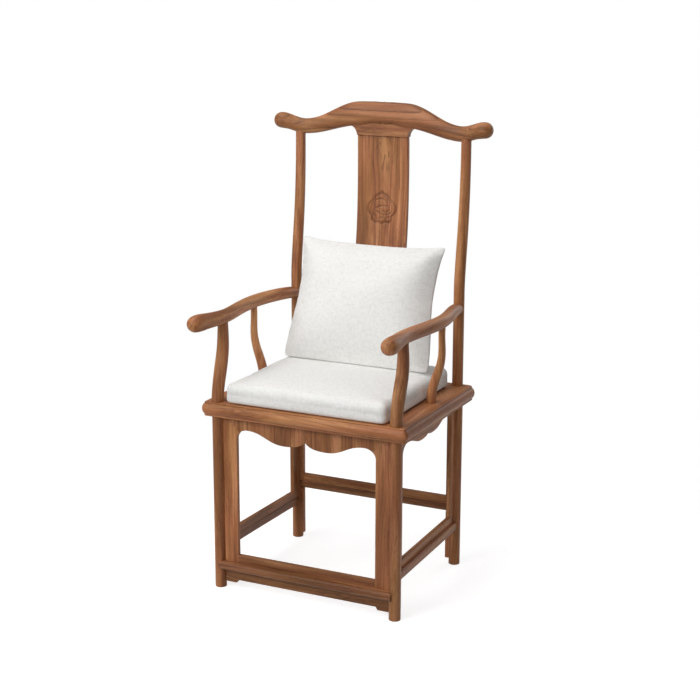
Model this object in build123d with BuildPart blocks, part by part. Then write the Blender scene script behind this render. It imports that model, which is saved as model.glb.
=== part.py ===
from build123d import *
import os
from math import cos, hypot, pi, radians, sin

# Official's hat armchair: a jointed hardwood frame whose crest rail and armrests run past the posts
# that carry them, with two loose cushions. Millimetres; +X to the right as seen from in front,
# +Y to the back, +Z up. "left" and "right" are as seen from in front of the chair.
# The origin is on the floor, in the middle of the chair's overall length and depth.

# ---------------------------------------------------------------- main sizes
seat_width = 560.0
seat_depth = 450.0
seat_height = 490.0
overall_height = 1200.0
seat_centre_y = 16.5
fit_gap = 0.2
root = 2.0

# ---------------------------------------------------------------- seat frame and board
frame_thickness = 36.0
rail_width = 62.0
front_corner_radius = 13.0
rear_corner_radius = 22.0
moulding_width = 12.0
lip_inset = 5.8
lip_height = 4.0
bead_height = 3.5
bead_inset = 1.4
bulge_depth = 7.0
corner_tenon_width = 15.0
corner_tenon_height = 12.0
corner_tenon_length = 30.0
corner_tenon_shoulder = 5.0
corner_tenon_rise = 9.0
panel_thickness = 12.0
panel_drop = 2.0
panel_tongue_thickness = 6.0
panel_tongue_length = 6.0
panel_groove_spare = 1.0
brace_x = 88.0
brace_width = 30.0
brace_height = 22.0
brace_tenon_length = 12.0
brace_tenon_width = 14.0
brace_tenon_height = 11.0
brace_tenon_rise = 5.0
key_height = 4.0
key_width = 12.0
key_flare = 2.0

# ---------------------------------------------------------------- legs and posts
leg_radius = 14.75
neck_radius = 14.0
foot_rounding = 1.5
front_leg_inset_x = 37.0
front_leg_inset_y = 25.0
rear_leg_inset_x = 47.0
rear_leg_inset_y = 20.0
front_post_thickness = 32.0
front_post_swell = (0.94, 0.96, 0.99, 1.0, 0.97, 0.92, 0.85, 0.81)
front_post_set_back = 33.0
front_post_offset_x = 1.0
front_post_tenon_radius = 7.5
rear_post_thickness = 28.0
rear_post_swell = (1.0, 1.0, 0.99, 0.97, 0.95, 0.93, 0.92)
rear_post_bend_rise = 24.0
rear_post_tenon_radius = 8.0
rear_post_tenon_reach = 22.0
side_post_y = 24.0
side_post_inset_x = 44.0
side_post_flare = 26.0
side_post_thickness = 25.0
side_post_swell = (0.98, 0.97, 0.92, 0.85, 0.77, 0.71, 0.68, 0.66)
side_post_tenon_radius = 5.5
side_post_foot_tenon = 18.0
top_tenon_reach = 6.0

# ---------------------------------------------------------------- armrests
arm_height = 698.0
arm_thickness = 41.0
arm_swell = (0.63, 0.76, 0.79, 0.80, 0.81, 0.82, 0.82, 0.83, 0.84, 0.88, 0.96, 1.0)
arm_overhang = 129.0
arm_tip_flare = 14.0
arm_rear_drop = 7.0
arm_hump_rise = 3.0
arm_hump_inset = 1.5
arm_shoulder_outset = 1.5
arm_head_outset = 1.0
arm_tip_rise = 3.0
arm_tenon_radius = 7.0
arm_tenon_start = 4.0

# ---------------------------------------------------------------- crest rail
headrest_half_length = 62.0
headrest_height = 54.0
headrest_depth = 36.0
headrest_crown = 1.0
headrest_end_fall = 9.0
headrest_fullness = 0.8
round_fullness = 0.5523
saddle_drop = 50.5
saddle_thickness = 39.0
saddle_inset = 13.0
saddle_depth = 32.0
ear_radius = 20.5
ear_rise = 57.0
ear_overhang = 52.0
crest_set_back = 41.0
crest_bow = 18.0
crest_steps = 14
drop_height = 32.0
drop_depth = 21.0
cove_radius = 24.0

# ---------------------------------------------------------------- splat
splat_width = 142.0
splat_thickness = 12.0
splat_edge_rounding = 2.0
splat_tenon_thickness = 7.0
splat_tenon_inset = 16.0
splat_tenon_length = 14.0
# share of the splat's height, and how far its middle stands behind the rear leg line
splat_curve = ((0.0, 1), (0.11, -1), (0.24, 3), (0.37, 14), (0.50, 27), (0.60, 35), (0.74, 40.5), (0.88, 42), (1.0, 40.5))

# ---------------------------------------------------------------- apron frames between the legs
board_thickness = 10.5
board_face = 1.0
tongue_thickness = 4.0
tongue_back = 6.5
tongue_reach = 9.5
jamb_tongue_stop = 14.0
apron_tongue_height = 4.5
apron_tongue_inset = 20.0
mitre_reach = 45.0
front_jamb_width = 38.0
front_arch_drop = 29.5
front_lobe_drop = 56.0
front_cusp_drop = 38.0
front_lobe_place = 58.0
front_arch_place = 160.0
side_jamb_width = 25.0
side_arch_drop = 24.0
side_lobe_drop = 42.5
side_cusp_drop = 37.0
side_lobe_place = 38.0
side_arch_place = 135.0
rear_jamb_width = 8.0
rear_arch_drop = 20.0
arch_corner = 25.0
sill_height = 20.0
sill_tongue = 5.0
side_foot_strip_width = 22.0
rear_foot_strip_width = 8.0
foot_strip_lift = 16.0

# ---------------------------------------------------------------- stretchers and footrest
bar_face = 9.5
bar_top_rounding = 3.5
bar_bottom_rounding = 8.0
side_stretcher_top = 120.0
side_stretcher_height = 25.0
rear_stretcher_top = 167.0
rear_stretcher_height = 22.0
bar_tenon_thickness = 9.0
bar_tenon_height = 14.0
bar_tenon_stop = 2.5
footrest_top = 72.0
footrest_thickness = 20.0
footrest_nose = 20.0
footrest_wrap = 4.0
footrest_nose_rounding = 7.0
footrest_apron_bottom = 24.0
footrest_apron_foot_length = 31.0
footrest_apron_foot_slope = 5.0

# ---------------------------------------------------------------- cushions
cushion_side_margin = 60.0
cushion_front_margin = 12.0
cushion_rear_margin = 36.0
cushion_height = 58.0
cushion_corner = 22.0
cushion_top_rounding = 21.0
cushion_bottom_rounding = 8.0
pillow_side_margin = 78.0
pillow_height = 314.0
pillow_thickness = 122.0
pillow_tilt = 19.7
pillow_gap = 1.6
pillow_stand_off = 75.0
pillow_corner = 16.0
pillow_face_width = 240.0
pillow_face_height = 150.0
pillow_face_corner = 60.0

# ---------------------------------------------------------------- lines that the pieces share
frame_bottom = seat_height - frame_thickness
inner_half_width = seat_width / 2 - rail_width
inner_half_depth = seat_depth / 2 - rail_width
front_leg_x = seat_width / 2 - front_leg_inset_x
front_leg_y = seat_centre_y - seat_depth / 2 + front_leg_inset_y
rear_leg_x = seat_width / 2 - rear_leg_inset_x
rear_leg_y = seat_centre_y + seat_depth / 2 - rear_leg_inset_y
front_post_top = Vector(front_leg_x + front_post_offset_x, front_leg_y + front_post_set_back, arm_height)
side_post_foot_x = seat_width / 2 - side_post_inset_x
side_post_top = Vector(side_post_foot_x + side_post_flare, seat_centre_y + side_post_y, arm_height)
headrest_bottom = overall_height - headrest_height
drop_bottom = headrest_bottom - drop_height
saddle_x = rear_leg_x - saddle_inset
saddle_top = overall_height - saddle_drop
saddle_bottom = saddle_top - saddle_thickness
ear_x = rear_leg_x + ear_overhang
ear_z = overall_height - ear_rise
board_back = board_face - board_thickness
bar_middle = (bar_face + board_back) / 2
front_post_radii = [front_post_thickness / 2 * share for share in front_post_swell]
rear_post_radii = [rear_post_thickness / 2 * share for share in rear_post_swell]
side_post_radii = [side_post_thickness / 2 * share for share in side_post_swell]
arm_radii = [arm_thickness / 2 * share for share in arm_swell]
post_tenon_root = arm_height - arm_thickness / 2
tip_angles = (28, 50, 68, 80, 87)

# Each bay between two legs has its own plane through both leg axes: local x runs along the bay,
# local y is up and local z points out of the chair.
side_run_x = rear_leg_x - front_leg_x
side_run_y = rear_leg_y - front_leg_y
side_middle = ((front_leg_x + rear_leg_x) / 2, (front_leg_y + rear_leg_y) / 2, 0)
front_bay = Plane(origin=(0, front_leg_y, 0), x_dir=(1, 0, 0), z_dir=(0, -1, 0))
side_bay = Plane(origin=side_middle, x_dir=(side_run_x, side_run_y, 0), z_dir=(side_run_y, -side_run_x, 0))
rear_bay = Plane(origin=(0, rear_leg_y, 0), x_dir=(-1, 0, 0), z_dir=(0, 1, 0))
front_half_span = front_leg_x
side_half_span = hypot(side_run_x, side_run_y) / 2
rear_half_span = rear_leg_x


# ---------------------------------------------------------------- shared shapes
def ease(start, end, share):
    """Go from start to end with a level beginning and a level end."""
    return start + (end - start) * (1 - cos(pi * share)) / 2


def between(start, end, share):
    """The point at a share of the way from start to end."""
    return start + (end - start) * share


def tapered_rod(centreline, radii, section_x_dir, round_tip=False):
    """Loft circles square to a centreline, with the radii spread evenly along it.

    A round tip closes the last radius in a half ball within the line's length.
    """
    length = centreline.length
    body_length = length - radii[-1] if round_tip else length
    steps = [(body_length * place / (len(radii) - 1), radius) for place, radius in enumerate(radii)]
    if round_tip:
        for angle in tip_angles:
            ball_place = body_length + radii[-1] * sin(radians(angle))
            steps.append((ball_place, radii[-1] * cos(radians(angle))))
    with BuildPart() as rod:
        for distance, radius in steps:
            place = centreline.position_at(distance, position_mode=PositionMode.LENGTH)
            heading = centreline.tangent_at(distance, position_mode=PositionMode.LENGTH)
            with BuildSketch(Plane(origin=place, x_dir=section_x_dir, z_dir=heading)):
                Circle(radius)
        loft()
    return rod.part


def upright_round(x, y, bottom, top, radius):
    """A vertical round bar."""
    with BuildPart() as bar:
        with BuildSketch(Plane.XY.offset(bottom)):
            with Locations((x, y)):
                Circle(radius)
        extrude(amount=top - bottom)
    return bar.part


def bay_block(bay, along, up, out, grow=0.0):
    """A block in a bay's own directions, each given as (low, high), and grown by a clearance."""
    with BuildPart() as block:
        with BuildSketch(bay.offset(out[0] - grow)):
            with Locations(((along[0] + along[1]) / 2, (up[0] + up[1]) / 2)):
                Rectangle(along[1] - along[0] + 2 * grow, up[1] - up[0] + 2 * grow)
        extrude(amount=out[1] - out[0] + 2 * grow)
    return block.part


def reflected(piece, plane):
    """The piece's mirror image about a plane."""
    with BuildPart() as image:
        mirror(piece, about=plane)
    return image.part


def bay_middle(bay):
    """The upright plane that halves a bay."""
    return Plane(origin=bay.origin, x_dir=bay.z_dir, z_dir=bay.x_dir)


def both_ends(piece, bay):
    """The piece and its image at the other end of the bay."""
    with BuildPart() as pair:
        add(piece)
        mirror(piece, about=bay_middle(bay))
    return pair.part


# ---------------------------------------------------------------- joint shapes, shared by both pieces of a joint
def jamb_tongue(bay, half_span, bottom, grow=0.0):
    """The tongue of an upright strip in the groove of its leg, stopped below the mitre at its top."""
    along = (half_span - leg_radius, half_span - tongue_reach)
    out = (-tongue_back, -tongue_back + tongue_thickness)
    return bay_block(bay, along, (bottom, frame_bottom - jamb_tongue_stop), out, grow)


def foot_strip_tongue(bay, half_span, top, grow=0.0):
    """The tongue of the short strip below a stretcher."""
    along = (half_span - leg_radius, half_span - tongue_reach)
    out = (-tongue_back, -tongue_back + tongue_thickness)
    return bay_block(bay, along, (foot_strip_lift, top), out, grow)


def bar_tenon(bay, half_span, top, height, grow=0.0):
    """The tenon of a stretcher in its leg."""
    middle = top - height / 2
    along = (half_span - leg_radius - root, half_span - bar_tenon_stop)
    up = (middle - bar_tenon_height / 2, middle + bar_tenon_height / 2)
    out = (bar_middle - bar_tenon_thickness / 2, bar_middle + bar_tenon_thickness / 2)
    return bay_block(bay, along, up, out, grow)


def apron_tongue(bay, half_opening, grow=0.0):
    """The tongue of an apron in the underside of the seat frame."""
    reach = half_opening - apron_tongue_inset
    out = (-tongue_back, -tongue_back + tongue_thickness)
    return bay_block(bay, (-reach, reach), (frame_bottom, frame_bottom + apron_tongue_height), out, grow)


def corner_tenons(end, grow=0.0):
    """The two horizontal tenons of the front rail (end -1) or the rear rail (end 1)."""
    near = inner_half_depth + corner_tenon_shoulder
    low = frame_bottom + corner_tenon_rise
    middle_y = seat_centre_y + end * (near + corner_tenon_width / 2)
    reach = inner_half_width + corner_tenon_shoulder + corner_tenon_length
    length = corner_tenon_length + corner_tenon_shoulder
    with BuildPart() as tenons:
        with BuildSketch(Plane.XY.offset(low - grow)):
            with Locations((reach - length / 2, middle_y), (length / 2 - reach, middle_y)):
                Rectangle(length + 2 * grow, corner_tenon_width + 2 * grow)
        extrude(amount=corner_tenon_height + 2 * grow)
    return tenons.part


def brace_tenons(grow=0.0):
    """The end tenons of both seat braces, in the front and rear rails."""
    length = 2 * (inner_half_depth + brace_tenon_length)
    low = seat_height - panel_drop - panel_thickness - brace_height + brace_tenon_rise
    with BuildPart() as tenons:
        with BuildSketch(Plane.XY.offset(low - grow)):
            with Locations((brace_x, seat_centre_y), (-brace_x, seat_centre_y)):
                Rectangle(brace_tenon_width + 2 * grow, length + 2 * grow)
        extrude(amount=brace_tenon_height + 2 * grow)
    return tenons.part


def brace_keys(grow=0.0):
    """The dovetail ridges of both seat braces, in the underside of the seat board."""
    low = seat_height - panel_drop - panel_thickness
    half_foot = key_width / 2 + grow
    half_head = half_foot + key_flare
    with BuildPart() as keys:
        with BuildSketch(Plane.XZ.offset(-seat_centre_y)):
            for x in (brace_x, -brace_x):
                Polygon(
                    (x - half_foot, low),
                    (x + half_foot, low),
                    (x + half_head, low + key_height + grow),
                    (x - half_head, low + key_height + grow),
                    align=None,
                )
        extrude(amount=inner_half_depth, both=True)
    return keys.part


def splat_tenon(bottom, top, middle_y, grow=0.0):
    """A flat tenon of the splat between two heights."""
    half_width = splat_width / 2 - splat_tenon_inset + grow
    half_thickness = splat_tenon_thickness / 2 + grow
    with BuildPart() as tenon:
        with BuildSketch(Plane.XY.offset(bottom - grow)):
            with Locations((0, middle_y)):
                Rectangle(2 * half_width, 2 * half_thickness)
        extrude(amount=top - bottom + 2 * grow)
    return tenon.part


# ---------------------------------------------------------------- crest rail
def crest_y(x):
    """The crest rail bows forward from its middle to its ends."""
    return rear_leg_y + crest_set_back - crest_bow * (x / ear_x) ** 2


def crest_section(x):
    """Middle height, half height, half depth and fullness of the crest rail at x."""
    if x <= headrest_half_length:
        share = x / headrest_half_length
        top = overall_height - headrest_crown * share**2
        bottom = headrest_bottom - headrest_end_fall * share**2
        half_depth = headrest_depth / 2
        fullness = headrest_fullness
    elif x <= saddle_x:
        share = (x - headrest_half_length) / (saddle_x - headrest_half_length)
        top = ease(overall_height - headrest_crown, saddle_top, share)
        bottom = ease(headrest_bottom - headrest_end_fall, saddle_bottom, share)
        half_depth = ease(headrest_depth, saddle_depth, share) / 2
        fullness = ease(headrest_fullness, round_fullness, share)
    else:
        share = (x - saddle_x) / (ear_x - saddle_x)
        top = ease(saddle_top, ear_z + ear_radius, share)
        bottom = ease(saddle_bottom, ear_z - ear_radius, share)
        half_depth = ease(saddle_depth, 2 * ear_radius, share) / 2
        fullness = round_fullness
    return (top + bottom) / 2, (top - bottom) / 2, half_depth, fullness


def soft_square(half_across, half_up, fullness):
    """A closed outline of four equal curves: an ellipse at the round fullness, squarer above it."""
    across_pull = half_across * fullness
    up_pull = half_up * fullness
    with BuildSketch() as outline:
        with BuildLine():
            Bezier((half_across, 0), (half_across, up_pull), (across_pull, half_up), (0, half_up))
            Bezier((0, half_up), (-across_pull, half_up), (-half_across, up_pull), (-half_across, 0))
            Bezier((-half_across, 0), (-half_across, -up_pull), (-across_pull, -half_up), (0, -half_up))
            Bezier((0, -half_up), (across_pull, -half_up), (half_across, -up_pull), (half_across, 0))
        make_face()
    return outline.sketch


crest_stations = []
for step in range(crest_steps + 1):
    station_x = ear_x * step / crest_steps
    crest_stations.append((station_x, *crest_section(station_x)))
for angle in tip_angles:
    tip_x = ear_x + ear_radius * sin(radians(angle))
    tip_radius = ear_radius * cos(radians(angle))
    crest_stations.append((tip_x, ear_z, tip_radius, tip_radius, round_fullness))

with BuildPart() as crest_half:
    for x, middle_z, half_height, half_depth, fullness in crest_stations:
        section_origin = (x, crest_y(min(x, ear_x)), middle_z)
        with BuildSketch(Plane(origin=section_origin, x_dir=(0, 1, 0), z_dir=(1, 0, 0))):
            add(soft_square(half_depth, half_height, fullness))
    loft()

with BuildPart() as crest_blank:
    add(crest_half.part)
    mirror(crest_half.part, about=Plane.YZ)
    # The drop under the headrest, coved at both ends to meet the splat.
    cove_outer = splat_width / 2 + cove_radius
    cove_top = drop_bottom + cove_radius
    with BuildSketch(Plane.XZ.offset(-crest_y(0))):
        with BuildLine():
            Line((-splat_width / 2, drop_bottom), (splat_width / 2, drop_bottom))
            RadiusArc((splat_width / 2, drop_bottom), (cove_outer, cove_top), cove_radius)
            Line((cove_outer, cove_top), (cove_outer, headrest_bottom))
            Line((cove_outer, headrest_bottom), (-cove_outer, headrest_bottom))
            Line((-cove_outer, headrest_bottom), (-cove_outer, cove_top))
            RadiusArc((-cove_outer, cove_top), (-splat_width / 2, drop_bottom), cove_radius)
        make_face()
    extrude(amount=drop_depth / 2, both=True)

rear_post_top_y = crest_y(rear_leg_x)
rear_post_tenon_top = saddle_bottom + rear_post_tenon_reach
splat_top_y = rear_leg_y + splat_curve[-1][1]
splat_foot_y = rear_leg_y + splat_curve[0][1]

with BuildPart() as crest_rail:
    add(crest_blank.part)
    for x in (rear_leg_x, -rear_leg_x):
        socket = upright_round(x, rear_post_top_y, seat_height, rear_post_tenon_top + fit_gap, rear_post_tenon_radius + fit_gap)
        add(socket, mode=Mode.SUBTRACT)
    add(splat_tenon(drop_bottom, drop_bottom + splat_tenon_length, splat_top_y, fit_gap), mode=Mode.SUBTRACT)

# ---------------------------------------------------------------- splat
with BuildPart() as splat:
    splat_rise = drop_bottom - seat_height
    front_points = [(rear_leg_y + back - splat_thickness / 2, seat_height + splat_rise * share) for share, back in splat_curve]
    back_points = [(y + splat_thickness, z) for y, z in front_points]
    with BuildSketch(Plane.YZ):
        with BuildLine():
            Spline(front_points)
            Line(front_points[-1], back_points[-1])
            Spline(back_points)
            Line(back_points[0], front_points[0])
        make_face()
    extrude(amount=splat_width / 2, both=True)
    long_edges = splat.edges().filter_by(lambda edge: edge.length > splat_rise / 2)
    fillet(long_edges, radius=splat_edge_rounding)
    add(splat_tenon(drop_bottom - root, drop_bottom + splat_tenon_length, splat_top_y))
    add(splat_tenon(seat_height - splat_tenon_length, seat_height + root, splat_foot_y))

# ---------------------------------------------------------------- armrests
with BuildLine() as arm_line:
    arm_start = Vector(rear_leg_x, rear_leg_y, arm_height - arm_rear_drop)
    arm_tip = Vector(front_post_top.X + arm_tip_flare, front_post_top.Y - arm_overhang, arm_height + arm_tip_rise)
    Spline(
        arm_start,
        between(arm_start, side_post_top, 0.22) + Vector(-arm_hump_inset, 0, arm_hump_rise),
        between(arm_start, side_post_top, 0.58) + Vector(arm_shoulder_outset, 0, arm_hump_rise),
        side_post_top,
        between(side_post_top, front_post_top, 0.66),
        front_post_top,
        between(front_post_top, arm_tip, 0.5) + Vector(arm_head_outset, 0, 0),
        arm_tip,
    )
arm_centreline = arm_line.edge()
arm_blank = tapered_rod(arm_centreline, arm_radii, (0, 0, 1), round_tip=True)


def arm_tenon(grow=0.0):
    """The round tenon of the right armrest in the rear post."""
    heading = arm_centreline.tangent_at(0)
    with BuildPart() as tenon:
        with BuildSketch(Plane(origin=arm_start + heading * (arm_tenon_start - grow), x_dir=(0, 0, 1), z_dir=heading)):
            Circle(arm_tenon_radius + grow)
        extrude(amount=neck_radius + grow)
    return tenon.part


arm_tenon_top = arm_height + top_tenon_reach

# ---------------------------------------------------------------- rear posts: leg, neck and bent back post in one stick
bend_start = arm_height + rear_post_bend_rise
bend_rise = saddle_bottom + saddle_thickness / 4 - bend_start
lean = rear_post_top_y - rear_leg_y
with BuildLine() as rear_post_line:
    Spline(
        (rear_leg_x, rear_leg_y, bend_start),
        (rear_leg_x, rear_leg_y + lean * 0.48, bend_start + bend_rise * 0.36),
        (rear_leg_x, rear_leg_y + lean * 0.84, bend_start + bend_rise * 0.62),
        (rear_leg_x, rear_post_top_y, bend_start + bend_rise),
        tangents=[(0, 0, 1), (0, 0, 1)],
    )
with BuildPart() as rear_post_blank:
    add(upright_round(rear_leg_x, rear_leg_y, 0, frame_bottom, leg_radius))
    fillet(rear_post_blank.edges().group_by(Axis.Z)[0], radius=foot_rounding)
    add(upright_round(rear_leg_x, rear_leg_y, frame_bottom, bend_start, neck_radius))
    add(tapered_rod(rear_post_line.edge(), rear_post_radii, (1, 0, 0)))

with BuildPart() as rear_post_right:
    add(rear_post_blank.part)
    add(crest_blank.part, mode=Mode.SUBTRACT)
    add(upright_round(rear_leg_x, rear_post_top_y, saddle_bottom - root, rear_post_tenon_top, rear_post_tenon_radius))
    add(arm_tenon(fit_gap), mode=Mode.SUBTRACT)
    add(jamb_tongue(side_bay, side_half_span, side_stretcher_top, fit_gap), mode=Mode.SUBTRACT)
    add(bar_tenon(side_bay, side_half_span, side_stretcher_top, side_stretcher_height, fit_gap), mode=Mode.SUBTRACT)
    rear_cuts = [
        jamb_tongue(rear_bay, rear_half_span, rear_stretcher_top, fit_gap),
        foot_strip_tongue(rear_bay, rear_half_span, rear_stretcher_top - rear_stretcher_height, fit_gap),
        bar_tenon(rear_bay, rear_half_span, rear_stretcher_top, rear_stretcher_height, fit_gap),
    ]
    for cut in rear_cuts:
        add(reflected(cut, bay_middle(rear_bay)), mode=Mode.SUBTRACT)

# ---------------------------------------------------------------- front posts: leg, neck and gooseneck in one stick
gooseneck_rise = arm_height - seat_height
with BuildLine() as front_post_line:
    Spline(
        (front_leg_x, front_leg_y, seat_height),
        (front_leg_x, front_leg_y + front_post_set_back * 0.34, seat_height + gooseneck_rise * 0.30),
        (front_post_top.X, front_leg_y + front_post_set_back * 0.86, seat_height + gooseneck_rise * 0.56),
        (front_post_top.X, front_post_top.Y, arm_height),
        tangents=[(0, 0, 1), (0, 0, 1)],
    )
with BuildPart() as front_post_right:
    add(upright_round(front_leg_x, front_leg_y, 0, frame_bottom, leg_radius))
    fillet(front_post_right.edges().group_by(Axis.Z)[0], radius=foot_rounding)
    add(upright_round(front_leg_x, front_leg_y, frame_bottom, seat_height, neck_radius))
    add(tapered_rod(front_post_line.edge(), front_post_radii, (1, 0, 0)))
    add(arm_blank, mode=Mode.SUBTRACT)
    add(upright_round(front_post_top.X, front_post_top.Y, post_tenon_root, arm_tenon_top, front_post_tenon_radius))
    add(jamb_tongue(front_bay, front_half_span, footrest_top, fit_gap), mode=Mode.SUBTRACT)
    add(bar_tenon(front_bay, front_half_span, footrest_top, footrest_thickness, fit_gap), mode=Mode.SUBTRACT)
    front_cuts = [
        jamb_tongue(side_bay, side_half_span, side_stretcher_top, fit_gap),
        foot_strip_tongue(side_bay, side_half_span, side_stretcher_top - side_stretcher_height, fit_gap),
        bar_tenon(side_bay, side_half_span, side_stretcher_top, side_stretcher_height, fit_gap),
    ]
    for cut in front_cuts:
        add(reflected(cut, bay_middle(side_bay)), mode=Mode.SUBTRACT)

# ---------------------------------------------------------------- side posts
with BuildLine() as side_post_line:
    Spline(
        (side_post_foot_x, side_post_top.Y, seat_height),
        (side_post_foot_x + side_post_flare * 0.20, side_post_top.Y, seat_height + gooseneck_rise * 0.20),
        (side_post_foot_x + side_post_flare * 0.80, side_post_top.Y, seat_height + gooseneck_rise * 0.43),
        (side_post_top.X, side_post_top.Y, arm_height),
        tangents=[(0, 0, 1), (0, 0, 1)],
    )


def side_post_foot(grow=0.0):
    """The round tenon of the right side post in the side rail."""
    bottom = seat_height - side_post_foot_tenon - grow
    return upright_round(side_post_foot_x, side_post_top.Y, bottom, seat_height + root, side_post_tenon_radius + grow)


with BuildPart() as side_post_right:
    add(tapered_rod(side_post_line.edge(), side_post_radii, (1, 0, 0)))
    add(arm_blank, mode=Mode.SUBTRACT)
    add(side_post_foot())
    add(upright_round(side_post_top.X, side_post_top.Y, post_tenon_root, arm_tenon_top, side_post_tenon_radius))

with BuildPart() as armrest_right:
    add(arm_blank)
    add(rear_post_blank.part, mode=Mode.SUBTRACT)
    add(arm_tenon())
    for top_point, radius in ((front_post_top, front_post_tenon_radius), (side_post_top, side_post_tenon_radius)):
        socket = upright_round(top_point.X, top_point.Y, seat_height, arm_tenon_top + fit_gap, radius + fit_gap)
        add(socket, mode=Mode.SUBTRACT)

# ---------------------------------------------------------------- seat frame
def frame_outline(inset):
    """The seat frame's outline in plan, moved inwards by an inset smaller than its corners."""
    with BuildSketch(Plane.XY.offset(frame_bottom)) as outline:
        with Locations((0, seat_centre_y)):
            Rectangle(seat_width - 2 * inset, seat_depth - 2 * inset)
        fillet(outline.vertices().group_by(Axis.Y)[0], radius=front_corner_radius - inset)
        fillet(outline.vertices().group_by(Axis.Y)[-1], radius=rear_corner_radius - inset)
    return outline.sketch


def edge_moulding():
    """The right half of the frame's moulded edge: lip, bulged band and bead, run round the corners."""
    half_width = seat_width / 2
    front = seat_centre_y - seat_depth / 2
    rear = seat_centre_y + seat_depth / 2
    band_bottom = frame_bottom + lip_height
    bead_bottom = seat_height - bead_height
    with BuildPart() as moulding:
        with BuildLine() as edge:
            Line((0, front), (half_width - front_corner_radius, front))
            CenterArc((half_width - front_corner_radius, front + front_corner_radius), front_corner_radius, -90, 90)
            Line((half_width, front + front_corner_radius), (half_width, rear - rear_corner_radius))
            CenterArc((half_width - rear_corner_radius, rear - rear_corner_radius), rear_corner_radius, 0, 90)
            Line((half_width - rear_corner_radius, rear), (0, rear))
        # Local x points out of the frame from its widest line, and local y is the height.
        with BuildSketch(Plane(origin=(0, front, 0), x_dir=(0, -1, 0), z_dir=(-1, 0, 0))):
            with BuildLine():
                Polyline((-bulge_depth, frame_bottom), (-moulding_width, frame_bottom), (-moulding_width, seat_height))
                Line((-moulding_width, seat_height), (-bulge_depth - bead_inset, seat_height))
                ThreePointArc(
                    (-bulge_depth - bead_inset, seat_height),
                    (-bulge_depth, seat_height - bead_height / 2),
                    (-bulge_depth - bead_inset, bead_bottom),
                )
                Line((-bulge_depth - bead_inset, bead_bottom), (-bulge_depth, bead_bottom))
                ThreePointArc((-bulge_depth, bead_bottom), (0, (band_bottom + bead_bottom) / 2), (-bulge_depth, band_bottom))
                ThreePointArc(
                    (-bulge_depth, band_bottom),
                    (-lip_inset, frame_bottom + lip_height / 2),
                    (-bulge_depth, frame_bottom),
                )
            make_face()
        sweep(path=edge.wires()[0])
    return moulding.part


def mitre_wedge(inner_half_length, towards):
    """The block between two 45 degree mitres; towards is the outward direction in plan."""
    reach = rail_width + root
    outer = inner_half_length + reach
    start = seat_centre_y + towards[1] * inner_half_depth
    edge = towards[0] * inner_half_width
    if towards[0]:
        corners = (
            (edge, seat_centre_y - inner_half_length),
            (edge + towards[0] * reach, seat_centre_y - outer),
            (edge + towards[0] * reach, seat_centre_y + outer),
            (edge, seat_centre_y + inner_half_length),
        )
    else:
        corners = (
            (-inner_half_length, start),
            (-outer, start + towards[1] * reach),
            (outer, start + towards[1] * reach),
            (inner_half_length, start),
        )
    with BuildPart() as wedge:
        with BuildSketch(Plane.XY.offset(frame_bottom)):
            Polygon(*corners, align=None)
        extrude(amount=frame_thickness)
    return wedge.part


with BuildPart() as frame_ring:
    half_moulding = edge_moulding()
    with BuildSketch(Plane.XY.offset(frame_bottom)):
        add(frame_outline(moulding_width))
        with Locations((0, seat_centre_y)):
            Rectangle(2 * inner_half_width, 2 * inner_half_depth, mode=Mode.SUBTRACT)
    extrude(amount=frame_thickness)
    add(half_moulding)
    mirror(half_moulding, about=Plane.YZ)

groove_bottom = seat_height - panel_drop - panel_thickness
groove_reach = panel_tongue_length + panel_groove_spare

with BuildPart() as frame_cuts:
    # Holes for the necks of the four legs, and the groove for the seat board.
    for x, y in ((front_leg_x, front_leg_y), (-front_leg_x, front_leg_y), (rear_leg_x, rear_leg_y), (-rear_leg_x, rear_leg_y)):
        add(upright_round(x, y, frame_bottom - root, seat_height + root, neck_radius + fit_gap))
    with BuildSketch(Plane.XY.offset(groove_bottom - fit_gap)):
        with Locations((0, seat_centre_y)):
            Rectangle(2 * (inner_half_width + groove_reach), 2 * (inner_half_depth + groove_reach))
    extrude(amount=panel_tongue_thickness + 2 * fit_gap)

front_half_opening = front_half_span - leg_radius - front_jamb_width
side_half_opening = side_half_span - leg_radius - side_jamb_width
rear_half_opening = rear_half_span - leg_radius - rear_jamb_width

with BuildPart() as seat_rail_front:
    add(frame_ring.part)
    add(mitre_wedge(inner_half_width, (0, -1)), mode=Mode.INTERSECT)
    add(corner_tenons(-1))
    add(frame_cuts.part, mode=Mode.SUBTRACT)
    add(brace_tenons(fit_gap), mode=Mode.SUBTRACT)
    add(apron_tongue(front_bay, front_half_opening, fit_gap), mode=Mode.SUBTRACT)

with BuildPart() as seat_rail_rear:
    add(frame_ring.part)
    add(mitre_wedge(inner_half_width, (0, 1)), mode=Mode.INTERSECT)
    add(corner_tenons(1))
    add(frame_cuts.part, mode=Mode.SUBTRACT)
    add(brace_tenons(fit_gap), mode=Mode.SUBTRACT)
    add(apron_tongue(rear_bay, rear_half_opening, fit_gap), mode=Mode.SUBTRACT)
    add(splat_tenon(seat_height - splat_tenon_length, seat_height + root, splat_foot_y, fit_gap), mode=Mode.SUBTRACT)

with BuildPart() as seat_rail_right:
    add(frame_ring.part)
    add(mitre_wedge(inner_half_depth, (1, 0)), mode=Mode.INTERSECT)
    add(corner_tenons(-1, fit_gap), mode=Mode.SUBTRACT)
    add(corner_tenons(1, fit_gap), mode=Mode.SUBTRACT)
    add(frame_cuts.part, mode=Mode.SUBTRACT)
    add(side_post_foot(fit_gap), mode=Mode.SUBTRACT)
    add(apron_tongue(side_bay, side_half_opening, fit_gap), mode=Mode.SUBTRACT)

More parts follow.
